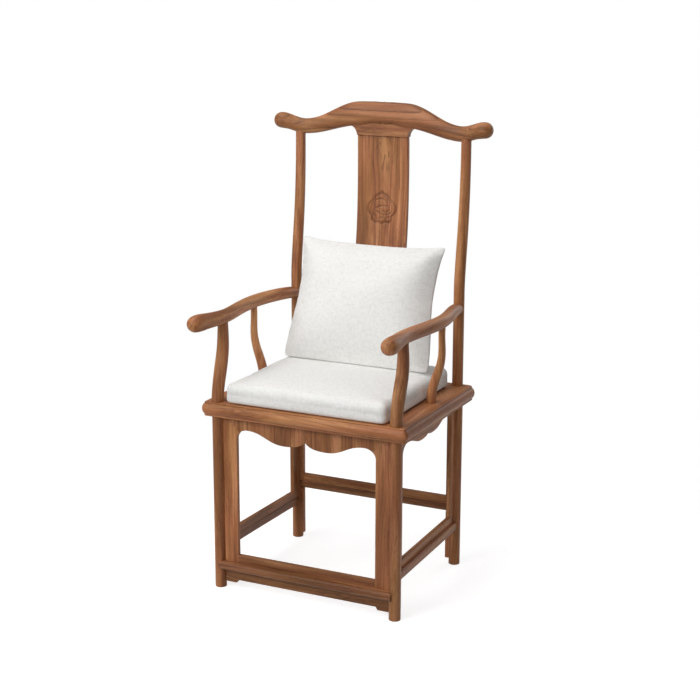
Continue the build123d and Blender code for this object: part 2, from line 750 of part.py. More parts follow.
# ---------------------------------------------------------------- seat board and its braces
with BuildPart() as seat_panel:
    with BuildSketch(Plane.XY.offset(groove_bottom)):
        with Locations((0, seat_centre_y)):
            Rectangle(2 * (inner_half_width + panel_tongue_length), 2 * (inner_half_depth + panel_tongue_length))
    extrude(amount=panel_tongue_thickness)
    with BuildSketch(Plane.XY.offset(groove_bottom + panel_tongue_thickness)):
        with Locations((0, seat_centre_y)):
            Rectangle(2 * (inner_half_width - fit_gap), 2 * (inner_half_depth - fit_gap))
    extrude(amount=panel_thickness - panel_tongue_thickness)
    add(brace_keys(fit_gap), mode=Mode.SUBTRACT)

with BuildPart() as both_braces:
    with BuildSketch(Plane.XY.offset(groove_bottom - brace_height)):
        with Locations((brace_x, seat_centre_y), (-brace_x, seat_centre_y)):
            Rectangle(brace_width, 2 * inner_half_depth)
    extrude(amount=brace_height)
    add(brace_tenons())
    add(brace_keys())
with BuildPart() as seat_brace_right:
    add(both_braces.part.solids().sort_by(Axis.X)[-1])

# ---------------------------------------------------------------- apron frames
def kunmen_opening(half_width, bottom, arch, lobe, cusp, lobe_place, arch_place):
    """The opening of a bay: a pointed cusp between two hanging lobes, rising to rounded shoulders."""
    rise_pull = 0.45 * (arch_place - lobe_place)
    side_pull = 0.55 * (half_width - arch_place)
    with BuildSketch() as opening:
        with BuildLine():
            Bezier(
                (0, cusp),
                (0.2 * lobe_place, cusp - 0.85 * (cusp - lobe)),
                (0.6 * lobe_place, lobe),
                (lobe_place, lobe),
            )
            Bezier((lobe_place, lobe), (lobe_place + rise_pull, lobe), (arch_place - rise_pull, arch), (arch_place, arch))
            Bezier(
                (arch_place, arch),
                (arch_place + side_pull, arch),
                (half_width, arch - 0.45 * arch_corner),
                (half_width, arch - arch_corner),
            )
            Line((half_width, arch - arch_corner), (half_width, bottom))
            Line((half_width, bottom), (0, bottom))
            mirror(about=Plane.YZ)
        make_face()
    return opening.sketch


def leg_pair(bay, half_span):
    """The round legs at both ends of a bay."""
    far_leg = bay.from_local_coords(Vector(half_span, 0, 0))
    return both_ends(upright_round(far_leg.X, far_leg.Y, 0, frame_bottom, leg_radius), bay)


def bay_apron(bay, half_span, half_opening, arch, opening):
    """The apron: mitred to the upright strips, with a tongue in the seat frame."""
    mitre_top = half_opening + frame_bottom - arch
    with BuildPart() as apron:
        with BuildSketch(bay.offset(board_back)):
            Polygon(
                (-mitre_top, frame_bottom),
                (mitre_reach - half_opening, arch - mitre_reach),
                (half_opening - mitre_reach, arch - mitre_reach),
                (mitre_top, frame_bottom),
                align=None,
            )
            add(opening, mode=Mode.SUBTRACT)
        extrude(amount=board_thickness)
        add(apron_tongue(bay, half_opening))
        add(leg_pair(bay, half_span), mode=Mode.SUBTRACT)
    return apron.part


def bay_jamb(bay, half_span, half_opening, arch, opening, bottom):
    """The upright strip at the far end of a bay, coped to its leg, with a tongue in it."""
    mitre_top = half_opening + frame_bottom - arch
    with BuildPart() as jamb:
        with BuildSketch(bay.offset(board_back)):
            Polygon(
                (half_opening - mitre_reach, arch - mitre_reach),
                (half_opening - mitre_reach, bottom),
                (half_span, bottom),
                (half_span, frame_bottom),
                (mitre_top, frame_bottom),
                align=None,
            )
            add(opening, mode=Mode.SUBTRACT)
        extrude(amount=board_thickness)
        add(leg_pair(bay, half_span), mode=Mode.SUBTRACT)
        add(jamb_tongue(bay, half_span, bottom))
        add(bay_block(bay, (half_opening, half_opening + sill_tongue), (bottom, bottom + sill_height),
                      (-tongue_back, tongue_thickness - tongue_back), fit_gap), mode=Mode.SUBTRACT)
    return jamb.part


def bay_sill(bay, half_opening, bottom):
    """The thin strip that closes a bay's frame at the bottom, with tongues in the upright strips."""
    reach = half_opening + sill_tongue
    with BuildPart() as sill:
        add(bay_block(bay, (-half_opening, half_opening), (bottom, bottom + sill_height), (board_back, board_face)))
        add(bay_block(bay, (-reach, reach), (bottom, bottom + sill_height), (-tongue_back, tongue_thickness - tongue_back)))
    return sill.part


def foot_strip(bay, half_span, width, top):
    """The short strip below a stretcher at the far end of a bay."""
    with BuildPart() as strip:
        inner = half_span - leg_radius - width
        add(bay_block(bay, (inner, half_span), (foot_strip_lift, top), (board_back, board_face)))
        add(leg_pair(bay, half_span), mode=Mode.SUBTRACT)
        add(foot_strip_tongue(bay, half_span, top))
    return strip.part


def stretcher(bay, half_span, top, height):
    """A rising stretcher: flat-topped bar, coped to both legs, with a tenon in each."""
    across = Plane(origin=bay.origin, x_dir=bay.z_dir, z_dir=-bay.x_dir)
    with BuildPart() as bar:
        with BuildSketch(across) as section:
            with Locations((bar_middle, top - height / 2)):
                Rectangle(bar_face - board_back, height)
            fillet(section.vertices().group_by(Axis.Y)[-1], radius=bar_top_rounding)
            fillet(section.vertices().group_by(Axis.Y)[0], radius=bar_bottom_rounding)
        extrude(amount=half_span, both=True)
        add(leg_pair(bay, half_span), mode=Mode.SUBTRACT)
        add(both_ends(bar_tenon(bay, half_span, top, height), bay))
    return bar.part


front_arch = frame_bottom - front_arch_drop
front_opening = kunmen_opening(
    front_half_opening,
    footrest_top,
    front_arch,
    frame_bottom - front_lobe_drop,
    frame_bottom - front_cusp_drop,
    front_lobe_place,
    front_arch_place,
)
side_arch = frame_bottom - side_arch_drop
side_opening = kunmen_opening(
    side_half_opening,
    side_stretcher_top,
    side_arch,
    frame_bottom - side_lobe_drop,
    frame_bottom - side_cusp_drop,
    side_lobe_place,
    side_arch_place,
)
rear_arch = frame_bottom - rear_arch_drop
with BuildSketch() as rear_opening:
    with Locations((0, (rear_arch + rear_stretcher_top) / 2)):
        Rectangle(2 * rear_half_opening, rear_arch - rear_stretcher_top)
    fillet(rear_opening.vertices().group_by(Axis.Y)[-1], radius=arch_corner)

front_apron = bay_apron(front_bay, front_half_span, front_half_opening, front_arch, front_opening)
side_apron_right = bay_apron(side_bay, side_half_span, side_half_opening, side_arch, side_opening)
rear_apron = bay_apron(rear_bay, rear_half_span, rear_half_opening, rear_arch, rear_opening.sketch)
front_jamb_right = bay_jamb(front_bay, front_half_span, front_half_opening, front_arch, front_opening, footrest_top)
side_jamb_rear_right = bay_jamb(side_bay, side_half_span, side_half_opening, side_arch, side_opening, side_stretcher_top)
side_jamb_front_right = reflected(side_jamb_rear_right, bay_middle(side_bay))
rear_jamb_left = bay_jamb(rear_bay, rear_half_span, rear_half_opening, rear_arch, rear_opening.sketch, rear_stretcher_top)
front_sill = bay_sill(front_bay, front_half_opening, footrest_top)
side_sill_right = bay_sill(side_bay, side_half_opening, side_stretcher_top)
rear_sill = bay_sill(rear_bay, rear_half_opening, rear_stretcher_top)
side_stretcher_right = stretcher(side_bay, side_half_span, side_stretcher_top, side_stretcher_height)
rear_stretcher = stretcher(rear_bay, rear_half_span, rear_stretcher_top, rear_stretcher_height)
side_strip_top = side_stretcher_top - side_stretcher_height
side_foot_strip_far = foot_strip(side_bay, side_half_span, side_foot_strip_width, side_strip_top)
side_foot_strip_right = reflected(side_foot_strip_far, bay_middle(side_bay))
rear_strip_top = rear_stretcher_top - rear_stretcher_height
rear_foot_strip_left = foot_strip(rear_bay, rear_half_span, rear_foot_strip_width, rear_strip_top)

# ---------------------------------------------------------------- footrest plank and the board under it
with BuildPart() as footrest:
    plank_reach = front_half_span - footrest_wrap
    footrest_bottom = footrest_top - footrest_thickness
    add(bay_block(front_bay, (-plank_reach, plank_reach), (footrest_bottom, footrest_top), (board_back, footrest_nose)))
    nose_edges = footrest.edges().filter_by(Axis.X).group_by(Axis.Y)[0]
    fillet(nose_edges, radius=footrest_nose_rounding)
    add(leg_pair(front_bay, front_half_span), mode=Mode.SUBTRACT)
    add(both_ends(bar_tenon(front_bay, front_half_span, footrest_top, footrest_thickness), front_bay))

with BuildPart() as footrest_apron:
    step_start = front_half_span - leg_radius - footrest_apron_foot_length
    with BuildSketch(front_bay.offset(board_back)):
        Polygon(
            (-front_half_span, footrest_bottom),
            (-front_half_span, foot_strip_lift),
            (-step_start, foot_strip_lift),
            (footrest_apron_foot_slope - step_start, footrest_apron_bottom),
            (step_start - footrest_apron_foot_slope, footrest_apron_bottom),
            (step_start, foot_strip_lift),
            (front_half_span, foot_strip_lift),
            (front_half_span, footrest_bottom),
            align=None,
        )
    extrude(amount=board_thickness)
    add(leg_pair(front_bay, front_half_span), mode=Mode.SUBTRACT)

# ---------------------------------------------------------------- cushions
with BuildPart() as seat_cushion:
    cushion_width = seat_width - 2 * cushion_side_margin
    cushion_depth = seat_depth - cushion_front_margin - cushion_rear_margin
    with BuildSketch(Plane.XY.offset(seat_height)):
        with Locations((0, seat_centre_y + (cushion_front_margin - cushion_rear_margin) / 2)):
            RectangleRounded(cushion_width, cushion_depth, cushion_corner)
    extrude(amount=cushion_height)
    fillet(seat_cushion.edges().group_by(Axis.Z)[-1], radius=cushion_top_rounding)
    fillet(seat_cushion.edges().group_by(Axis.Z)[0], radius=cushion_bottom_rounding)

tilt = radians(pillow_tilt)
pillow_width = seat_width - 2 * pillow_side_margin
pillow_centre_z = seat_height + cushion_height + pillow_gap + pillow_height / 2 * cos(tilt)
pillow_plane = Plane(
    origin=(0, rear_leg_y - pillow_stand_off, pillow_centre_z),
    x_dir=(1, 0, 0),
    z_dir=(0, -cos(tilt), sin(tilt)),
)
with BuildPart() as back_pillow:
    with BuildSketch(pillow_plane.offset(-pillow_thickness / 2)):
        RectangleRounded(pillow_face_width, pillow_face_height, pillow_face_corner)
    with BuildSketch(pillow_plane):
        RectangleRounded(pillow_width, pillow_height, pillow_corner)
    with BuildSketch(pillow_plane.offset(pillow_thickness / 2)):
        RectangleRounded(pillow_face_width, pillow_face_height, pillow_face_corner)
    loft()

# ---------------------------------------------------------------- the finished pieces, one file each
right_hand = {
    "rear_post": rear_post_right.part,
    "front_post": front_post_right.part,
    "side_post": side_post_right.part,
    "armrest": armrest_right.part,
    "seat_rail": seat_rail_right.part,
    "seat_brace": seat_brace_right.part,
    "side_apron": side_apron_right,
    "front_jamb": front_jamb_right,
    "side_jamb_front": side_jamb_front_right,
    "side_jamb_rear": side_jamb_rear_right,
    "rear_jamb": reflected(rear_jamb_left, Plane.YZ),
    "side_sill": side_sill_right,
    "side_stretcher": side_stretcher_right,
    "side_foot_strip": side_foot_strip_right,
    "rear_foot_strip": reflected(rear_foot_strip_left, Plane.YZ),
}
pieces = {
    "crest_rail": crest_rail.part,
    "splat": splat.part,
    "seat_rail_front": seat_rail_front.part,
    "seat_rail_rear": seat_rail_rear.part,
    "seat_panel": seat_panel.part,
    "front_apron": front_apron,
    "rear_apron": rear_apron,
    "front_sill": front_sill,
    "rear_sill": rear_sill,
    "footrest": footrest.part,
    "footrest_apron": footrest_apron.part,
    "rear_stretcher": rear_stretcher,
    "seat_cushion": seat_cushion.part,
    "back_pillow": back_pillow.part,
}
for name, piece in right_hand.items():
    pieces[name + "_right"] = piece
    pieces[name + "_left"] = reflected(piece, Plane.YZ)

os.makedirs("parts", exist_ok=True)
for name, piece in pieces.items():
    piece.label = name
    export_step(piece, f"parts/{name}.step")
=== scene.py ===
"""Dresses an official's hat armchair: hardwood figure, carved splat medallion and stuffed linen cushions.

Everything is in metres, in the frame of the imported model: +X to the right seen from in front, +Y to
the back, +Z up, with the origin on the floor.
"""

import logging
import math
from dataclasses import dataclass
from enum import Enum
from typing import ClassVar

import bmesh
import bpy
import numpy as np
from mathutils import Matrix, Vector, noise
from mathutils.bvhtree import BVHTree

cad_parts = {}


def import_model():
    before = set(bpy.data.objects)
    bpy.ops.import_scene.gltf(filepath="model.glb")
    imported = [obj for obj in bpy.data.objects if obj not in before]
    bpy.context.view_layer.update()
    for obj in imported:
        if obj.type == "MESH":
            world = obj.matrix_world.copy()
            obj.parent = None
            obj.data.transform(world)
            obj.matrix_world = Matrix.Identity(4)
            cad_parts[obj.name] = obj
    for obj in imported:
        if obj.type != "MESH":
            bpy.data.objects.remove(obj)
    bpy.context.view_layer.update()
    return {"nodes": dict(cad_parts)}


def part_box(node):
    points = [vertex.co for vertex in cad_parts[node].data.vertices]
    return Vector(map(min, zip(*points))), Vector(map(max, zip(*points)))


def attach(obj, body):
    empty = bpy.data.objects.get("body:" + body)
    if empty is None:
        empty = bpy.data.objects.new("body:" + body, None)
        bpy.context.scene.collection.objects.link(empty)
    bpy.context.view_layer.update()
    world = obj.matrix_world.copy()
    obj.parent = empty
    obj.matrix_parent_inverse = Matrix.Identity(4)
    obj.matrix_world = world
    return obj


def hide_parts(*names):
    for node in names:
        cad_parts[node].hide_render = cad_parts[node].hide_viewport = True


log = logging.getLogger("armchair")

Colour = tuple[float, float, float]
Place = tuple[float, float, float]
Piece = bpy.types.Object
Shape = bmesh.types.BMesh
Socket = bpy.types.NodeSocket
WHITE = (1.0, 1.0, 1.0, 1.0)


# -------------------- helpers
def linear(red: int, green: int, blue: int) -> Colour:
    """Turn an sRGB colour, each part from 0 to 255, into linear light."""
    shares = (channel / 255 for channel in (red, green, blue))
    return tuple(s / 12.92 if s <= 0.04045 else ((s + 0.055) / 1.055) ** 2.4 for s in shares)


def opaque(colour: Colour, shading_tone: float = 1.0) -> tuple[float, float, float, float]:
    """Multiply a colour by a tone and add a full alpha."""
    return (*(shading_tone * channel for channel in colour), 1.0)


def add_object(name: str, data: bpy.types.ID) -> Piece:
    """Put an object with its data into the scene, at the origin."""
    item = bpy.data.objects.new(name, data)
    bpy.context.scene.collection.objects.link(item)
    return item


@dataclass(frozen=True)
class NodeDesk:
    """Lays out the nodes of one shader tree or group."""

    tree: bpy.types.NodeTree

    def add(self, kind: str, values: dict | None = None, **settings: object) -> bpy.types.Node:
        """Add a node, set its properties and feed its sockets.

        Args:
            kind: The node's type name, without the ShaderNode prefix.
            values: Socket name or number to a value, or to an output socket that is linked to it.
            settings: Node properties by name.

        Returns:
            The new node.
        """
        node = self.tree.nodes.new("ShaderNode" + kind)
        for name, value in settings.items():
            setattr(node, name, value)
        self.feed(node, values or {})
        return node

    def feed(self, node: bpy.types.Node, values: dict) -> None:
        """Set a node's sockets, or link them where the value is an output socket."""
        for key, value in values.items():
            socket = node.inputs[key]
            if isinstance(value, Socket):
                self.tree.links.new(value, socket)
            else:
                socket.default_value = value

    def math(self, operation: str, first: object, second: object = 0.0, third: object = 0.0) -> Socket:
        """Add a Math node and return its value."""
        return self.add("Math", {0: first, 1: second, 2: third}, operation=operation).outputs[0]

    def noise(self, vector: object, scale: float, detail: float = 2.0, roughness: float = 0.5) -> bpy.types.Node:
        """Add a noise texture read at a vector."""
        values = {"Vector": vector, "Scale": scale, "Detail": detail, "Roughness": roughness}
        return self.add("TexNoise", values, noise_dimensions="3D")

    def stretch(self, vector: object, scale: Place) -> Socket:
        """Scale a vector along its three axes."""
        return self.add("Mapping", {"Vector": vector, "Scale": scale}).outputs[0]

    def streaks(self, vector: object, scale: Place, detail: float = 2.0, roughness: float = 0.5) -> Socket:
        """Read a noise that is stretched along its three axes."""
        return self.noise(self.stretch(vector, scale), 1.0, detail, roughness).outputs["Fac"]

    def wander(self, vector: object, drift: bpy.types.Node, reach: float) -> Socket:
        """Shift a vector by a noise's colour, by up to half the reach each way."""
        centred = self.add("VectorMath", {0: drift.outputs["Color"], 1: (0.5, 0.5, 0.5)}, operation="SUBTRACT")
        shift = self.add("VectorMath", {0: centred.outputs[0], "Scale": reach}, operation="SCALE")
        return self.add("VectorMath", {0: vector, 1: shift.outputs[0]}, operation="ADD").outputs[0]

    def times(self, first: object, second: object) -> Socket:
        """Multiply two values."""
        return self.math("MULTIPLY", first, second)

    def principled(self, values: dict) -> None:
        """Finish a material with a Principled surface."""
        self.add("OutputMaterial", {"Surface": self.add("BsdfPrincipled", values).outputs[0]})

    def blend(self, share: object, first: object, second: object, mode: str = "MIX") -> Socket:
        """Mix two colours.

        Args:
            share: How much of the second colour, from 0 to 1.
            first: Colour value or socket.
            second: Colour value or socket.
            mode: Blender's blend type.

        Returns:
            The mixed colour.
        """
        # Sockets 6 and 7 are the two colours of a Mix node, and output 2 is its colour.
        return self.add("Mix", {0: share, 6: first, 7: second}, data_type="RGBA", blend_type=mode).outputs[2]

    def spread(self, value: object, low: float, high: float) -> Socket:
        """Turn the part of a value between low and high into 0 to 1, with soft ends."""
        values = {"Value": value, "From Min": low, "From Max": high}
        return self.add("MapRange", values, interpolation_type="SMOOTHSTEP").outputs[0]


def make_group(
    name: str, inputs: dict[str, str], outputs: dict[str, str]
) -> tuple[NodeDesk, bpy.types.Node, bpy.types.Node]:
    """Start a shader node group.

    Args:
        name: The group's name.
        inputs: Name of each input to Vector, Color or Float.
        outputs: Name of each output to Vector, Color or Float.

    Returns:
        The group's desk, its input node and its output node.
    """
    group = bpy.data.node_groups.new(name, "ShaderNodeTree")
    for direction, sockets in (("INPUT", inputs), ("OUTPUT", outputs)):
        for socket_name, kind in sockets.items():
            group.interface.new_socket(name=socket_name, in_out=direction, socket_type="NodeSocket" + kind)
    return NodeDesk(group), group.nodes.new("NodeGroupInput"), group.nodes.new("NodeGroupOutput")


def start_material(name: str) -> tuple[bpy.types.Material, NodeDesk]:
    """Start a material with an empty node tree, and give the desk to lay it out on."""
    material = bpy.data.materials.new(name)
    material.use_nodes = True
    material.node_tree.nodes.clear()
    return material, NodeDesk(material.node_tree)


# -------------------- finishes
class GrainRun(Enum):
    """The direction in which a wooden piece's grain runs, as the turn that brings it to local Z."""

    ACROSS = (0.0, math.radians(-90), 0.0)
    FORE_AFT = (math.radians(90), 0.0, 0.0)
    UPRIGHT = (0.0, 0.0, 0.0)


def hardwood_figure_group() -> None:
    """Build the figure of oiled hardwood: growth rings, broad streaks, fibres and pores.

    The group turns grain coordinates, in metres with the grain along Z, into colour, roughness and height.
    """
    desk, start, end = make_group(
        "hardwood_figure",
        {"Vector": "Vector", "Light": "Color", "Middle": "Color", "Dark": "Color",
         "Ring Strength": "Float", "Curl": "Float"},
        {"Color": "Color", "Roughness": "Float", "Height": "Float"},
    )
    grain, dark = start.outputs["Vector"], start.outputs["Dark"]
    # The heart of the tree wanders along the stick, so the rings make flames rather than plain stripes.
    wandered = desk.wander(grain, desk.noise(desk.stretch(grain, (9.0, 9.0, 2.2)), 1.0), 0.055)
    flat = desk.stretch(wandered, (1.0, 0.45, 0.02))
    radius = desk.add("VectorMath", {0: flat}, operation="LENGTH").outputs["Value"]
    ring = desk.math("FRACT", desk.times(radius, 118.0))
    late_wood = desk.math("POWER", ring, 3.0)
    patchy = desk.streaks(grain, (38.0, 38.0, 3.0), 3.0, 0.6)
    ring_mask = desk.times(late_wood, desk.spread(patchy, 0.38, 0.66))
    # Broad light and dark streaks, fine fibres and short pores.
    streak = desk.streaks(wandered, (47.0, 47.0, 2.4), 3.0, 0.55)
    fibre = desk.streaks(grain, (720.0, 720.0, 16.0), 3.0, 0.65)
    pore_mask = desk.spread(desk.streaks(grain, (2100.0, 2100.0, 95.0), 1.0), 0.60, 0.70)
    body = desk.blend(desk.spread(streak, 0.43, 0.72), start.outputs["Middle"], start.outputs["Light"])
    body = desk.blend(desk.times(desk.spread(streak, 0.50, 0.30), 0.40), body, dark)
    body = desk.blend(desk.times(ring_mask, start.outputs["Ring Strength"]), body, dark)
    # Patches of curly figure, where the rings close round hidden knots.
    knot = desk.streaks(wandered, (38.0, 38.0, 7.5), 2.5, 0.55)
    curl = desk.math("POWER", desk.math("FRACT", desk.times(knot, 8.5)), 1.8)
    curl_patch = desk.spread(desk.streaks(grain, (21.0, 21.0, 5.0), 1.0), 0.49, 0.66)
    curl_share = desk.times(desk.times(curl, curl_patch), start.outputs["Curl"])
    body = desk.blend(curl_share, body, dark)
    # The ground drifts between a rosier and a yellower brown.
    drift = desk.spread(desk.streaks(grain, (31.0, 31.0, 3.0)), 0.38, 0.62)
    body = desk.blend(1.0, body, desk.blend(drift, (1.03, 0.97, 1.01, 1.0), (0.98, 1.01, 0.91, 1.0)), "MULTIPLY")
    fibre_tone = desk.spread(fibre, 0.25, 0.75)
    fibre_share = desk.add("MapRange", {"Value": fibre_tone, "To Min": 0.84, "To Max": 1.10}).outputs[0]
    fibre_grey = desk.add("CombineColor", {0: fibre_share, 1: fibre_share, 2: fibre_share}).outputs[0]
    body = desk.blend(1.0, body, fibre_grey, "MULTIPLY")
    body = desk.blend(desk.times(pore_mask, 0.42), body, dark)
    gloss_loss = desk.math("MULTIPLY_ADD", pore_mask, 0.14, desk.times(ring_mask, -0.05))
    rough = desk.math("ADD", desk.math("MULTIPLY_ADD", fibre_tone, 0.08, 0.44), gloss_loss)
    height = desk.math("SUBTRACT", desk.times(fibre_tone, 0.25), pore_mask)
    desk.feed(end, {"Color": body, "Roughness": rough, "Height": height})


def eased_edge_group() -> None:
    """Build the eased arrises of a hand-planed piece.

    The group gives a normal softened over a radius, and a mask of the edges.
    """
    desk, start, end = make_group("eased_edge", {"Radius": "Float"}, {"Normal": "Vector", "Edge": "Float"})
    soft = desk.add("Bevel", {"Radius": start.outputs["Radius"]}, samples=4)
    plain = desk.add("NewGeometry")
    match = desk.add("VectorMath", {0: soft.outputs[0], 1: plain.outputs["Normal"]}, operation="DOT_PRODUCT")
    desk.feed(end, {"Normal": soft.outputs[0], "Edge": desk.spread(match.outputs["Value"], 0.985, 0.86)})


@dataclass(frozen=True)
class Hardwood:
    """Oiled brown hardwood with darker streaks, satin from hand polishing."""

    light: Colour = linear(204, 144, 99)
    middle: Colour = linear(166, 107, 66)
    dark: Colour = linear(86, 46, 25)
    # The paler brown of the painted highlight along the edges.
    edge_highlight: Colour = linear(200, 144, 102)
    edge_radius: float = 0.0012
    curl_share: float = 0.62
    edge_highlight_share: float = 0.35

    def material(
        self, name: str, run: GrainRun, seed: int, figure_strength: float, shading_tone: float, carved: bool = False
    ) -> bpy.types.Material:
        """Make the wood of one piece.

        Args:
            name: The piece's name.
            run: The direction of its grain.
            seed: Which stick of timber it is cut from.
            figure_strength: How strongly the rings and curls show, from 0 to 1.
            shading_tone: How much lighter or darker the piece is painted for the light and shade that fall on it,
                against the usual 1.
            carved: Whether its carving is painted darker with shade, as its attribute of painted shade says.

        Returns:
            The material.
        """
        material, desk = start_material("hardwood_" + name)
        place = desk.add("TexCoord").outputs["Object"]
        # Each seed cuts its stick from another place in the timber.
        stick = (0.37 * seed, 0.53 * ((seed * 7) % 11), 0.61 * ((seed * 5) % 13))
        turned = desk.add("Mapping", {"Vector": place, "Rotation": run.value, "Location": stick}).outputs[0]
        figure_values = {
            "Vector": turned,
            "Light": opaque(self.light, shading_tone),
            "Middle": opaque(self.middle, shading_tone),
            "Dark": opaque(self.dark, shading_tone),
            "Ring Strength": figure_strength,
            "Curl": self.curl_share * figure_strength,
        }
        figure = desk.add("Group", figure_values, node_tree=bpy.data.node_groups["hardwood_figure"])
        eased = desk.add("Group", {"Radius": self.edge_radius}, node_tree=bpy.data.node_groups["eased_edge"])
        # Painted highlight: every edge, outer and inner, is lightened towards a paler brown.
        edge_highlight = desk.times(eased.outputs["Edge"], self.edge_highlight_share)
        colour = desk.blend(edge_highlight, figure.outputs["Color"], opaque(self.edge_highlight, shading_tone))
        if carved:
            # Painted shade: the carving is darkened towards the dark wood, the more the deeper it is cut.
            groove_shade = desk.add("Attribute", attribute_name="groove_shade").outputs["Fac"]
            colour = desk.blend(groove_shade, colour, opaque(self.dark))
        bump_values = {
            "Height": figure.outputs["Height"],
            "Normal": eased.outputs["Normal"],
            "Strength": 0.22,
            "Distance": 0.0002,
        }
        desk.principled({
            "Base Color": colour,
            "Roughness": figure.outputs["Roughness"],
            "Normal": desk.add("Bump", bump_values).outputs[0],
            "Specular IOR Level": 0.3,
        })
        return material


def linen_weave_group() -> None:
    """Build plain-woven linen with slubs.

    The group turns cloth coordinates in metres into colour, roughness and height.
    """
    desk, start, end = make_group(
        "linen_weave",
        {"Vector": "Vector", "Light": "Color", "Shade": "Color", "Thread Pitch": "Float"},
        {"Color": "Color", "Roughness": "Float", "Height": "Float"},
    )
    cloth = start.outputs["Vector"]
    threads = desk.wander(cloth, desk.noise(cloth, 60.0), 0.0016)
    split = desk.add("SeparateXYZ", {0: threads})
    turn = desk.math("DIVIDE", math.pi, start.outputs["Thread Pitch"])
    warp, weft = (desk.math("SINE", desk.times(split.outputs[axis], turn)) for axis in (0, 1))
    over = desk.times(warp, weft)
    both = desk.math("ADD", desk.math("ABSOLUTE", warp), desk.math("ABSOLUTE", weft))
    weave = desk.math("MULTIPLY_ADD", over, 0.35, desk.times(both, 0.5))
    slub_warp = desk.spread(desk.streaks(cloth, (330.0, 52.0, 1.0), 2.0, 0.6), 0.56, 0.74)
    slub_weft = desk.spread(desk.streaks(cloth, (46.0, 330.0, 1.0), 2.0, 0.6), 0.55, 0.72)
    slub = desk.math("MAXIMUM", slub_warp, slub_weft)
    cloud = desk.spread(desk.noise(cloth, 118.0, 4.0, 0.65).outputs["Fac"], 0.36, 0.66)
    shade = desk.math("ADD", desk.times(slub, 0.45), desk.times(cloud, 0.30))
    thread_gap = desk.times(desk.math("SUBTRACT", 1.0, weave), 0.20)
    share = desk.math("MINIMUM", desk.math("ADD", shade, thread_gap), 1.0)
    colour = desk.blend(share, start.outputs["Light"], start.outputs["Shade"])
    rough = desk.math("MULTIPLY_ADD", slub, -0.06, 0.92)
    desk.feed(end, {"Color": colour, "Roughness": rough, "Height": desk.math("MULTIPLY_ADD", slub, 0.9, weave)})


@dataclass(frozen=True)
class Linen:
    """Off-white linen with grey slubs, matt and slightly fuzzy."""

    light: Colour = linear(244, 244, 242)
    shade: Colour = linear(219, 218, 213)
    thread_pitch: float = 0.0011

    def material(self, name: str) -> bpy.types.Material:
        """Make the cloth of one cushion.

        Args:
            name: The cushion's name.

        Returns:
            The material, which reads the piece's own UV map, in metres of cloth.
        """
        material, desk = start_material("linen_" + name)
        weave_values = {
            "Vector": desk.add("UVMap", uv_map="cloth").outputs[0],
            "Light": opaque(self.light),
            "Shade": opaque(self.shade),
            "Thread Pitch": self.thread_pitch,
        }
        weave = desk.add("Group", weave_values, node_tree=bpy.data.node_groups["linen_weave"])
        bump = desk.add("Bump", {"Height": weave.outputs["Height"], "Strength": 0.35, "Distance": 0.0004})
        desk.principled({
            "Base Color": weave.outputs["Color"],
            "Roughness": weave.outputs["Roughness"],
            "Normal": bump.outputs[0],
            "Sheen Weight": 0.25,
            "Sheen Roughness": 0.5,
            "Specular IOR Level": 0.2,
        })
        return material


# -------------------- joinery
@dataclass(frozen=True)
class Joinery:
    """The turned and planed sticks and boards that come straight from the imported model."""

    nodes: dict[str, Piece]
    wood: Hardwood
    RUNS: ClassVar[dict[GrainRun, tuple[str, ...]]] = {
        GrainRun.ACROSS: (
            "crest_rail", "seat_rail_front", "seat_rail_rear", "seat_panel", "rear_apron", "front_sill",
            "rear_sill", "footrest", "footrest_apron", "rear_stretcher",
        ),
        GrainRun.FORE_AFT: ("armrest", "seat_rail", "seat_brace", "side_apron", "side_sill", "side_stretcher"),
        GrainRun.UPRIGHT: (
            "splat", "rear_post", "front_post", "side_post", "front_apron", "front_jamb", "side_jamb_front",
            "side_jamb_rear", "rear_jamb", "side_foot_strip", "rear_foot_strip",
        ),
    }
    STRONG_FIGURE: ClassVar[tuple[str, ...]] = (
        "splat", "crest_rail", "front_apron", "footrest", "footrest_apron", "seat_rail_front",
    )
    STRONG: ClassVar[float] = 0.8
    PLAIN: ClassVar[float] = 0.5
    FIRST_STICK: ClassVar[int] = 3
    # Painted shade and light: pieces low down and on the right-hand side are darkened, and front pieces facing the
    # light are lightened; the crest rail is darkened too.
    SHADING_TONES: ClassVar[dict[str, float]] = {
        "crest_rail": 0.86, "armrest_right": 0.94, "front_post_right": 0.86,
        "seat_rail_front": 1.10, "seat_rail_right": 0.93, "front_apron": 0.90,
        "front_jamb_left": 1.12, "front_jamb_right": 0.92, "front_sill": 0.68,
        "footrest": 0.66, "footrest_apron": 0.62, "rear_stretcher": 0.70,
        "side_stretcher_left": 0.78, "side_stretcher_right": 0.88,
    }

    def dress(self) -> None:
        """Give each wooden node its own stick of timber."""
        runs = {stem: run for run, stems in self.RUNS.items() for stem in stems}
        for stick, name in enumerate(sorted(self.nodes), self.FIRST_STICK):
            stem = name.removesuffix("_left").removesuffix("_right")
            if stem not in runs:
                continue
            strength = self.STRONG if stem in self.STRONG_FIGURE else self.PLAIN
            # Painted shade and light for where the piece stands in the chair.
            shading_tone = self.SHADING_TONES.get(name, self.SHADING_TONES.get(stem, 1.0))
            material = self.wood.material(name, runs[stem], stick, strength, shading_tone)
            mesh = self.nodes[name].data
            for index in range(len(mesh.materials)):
                mesh.materials[index] = material
            log.info("%s: hardwood, grain %s", name, runs[stem].name.lower())


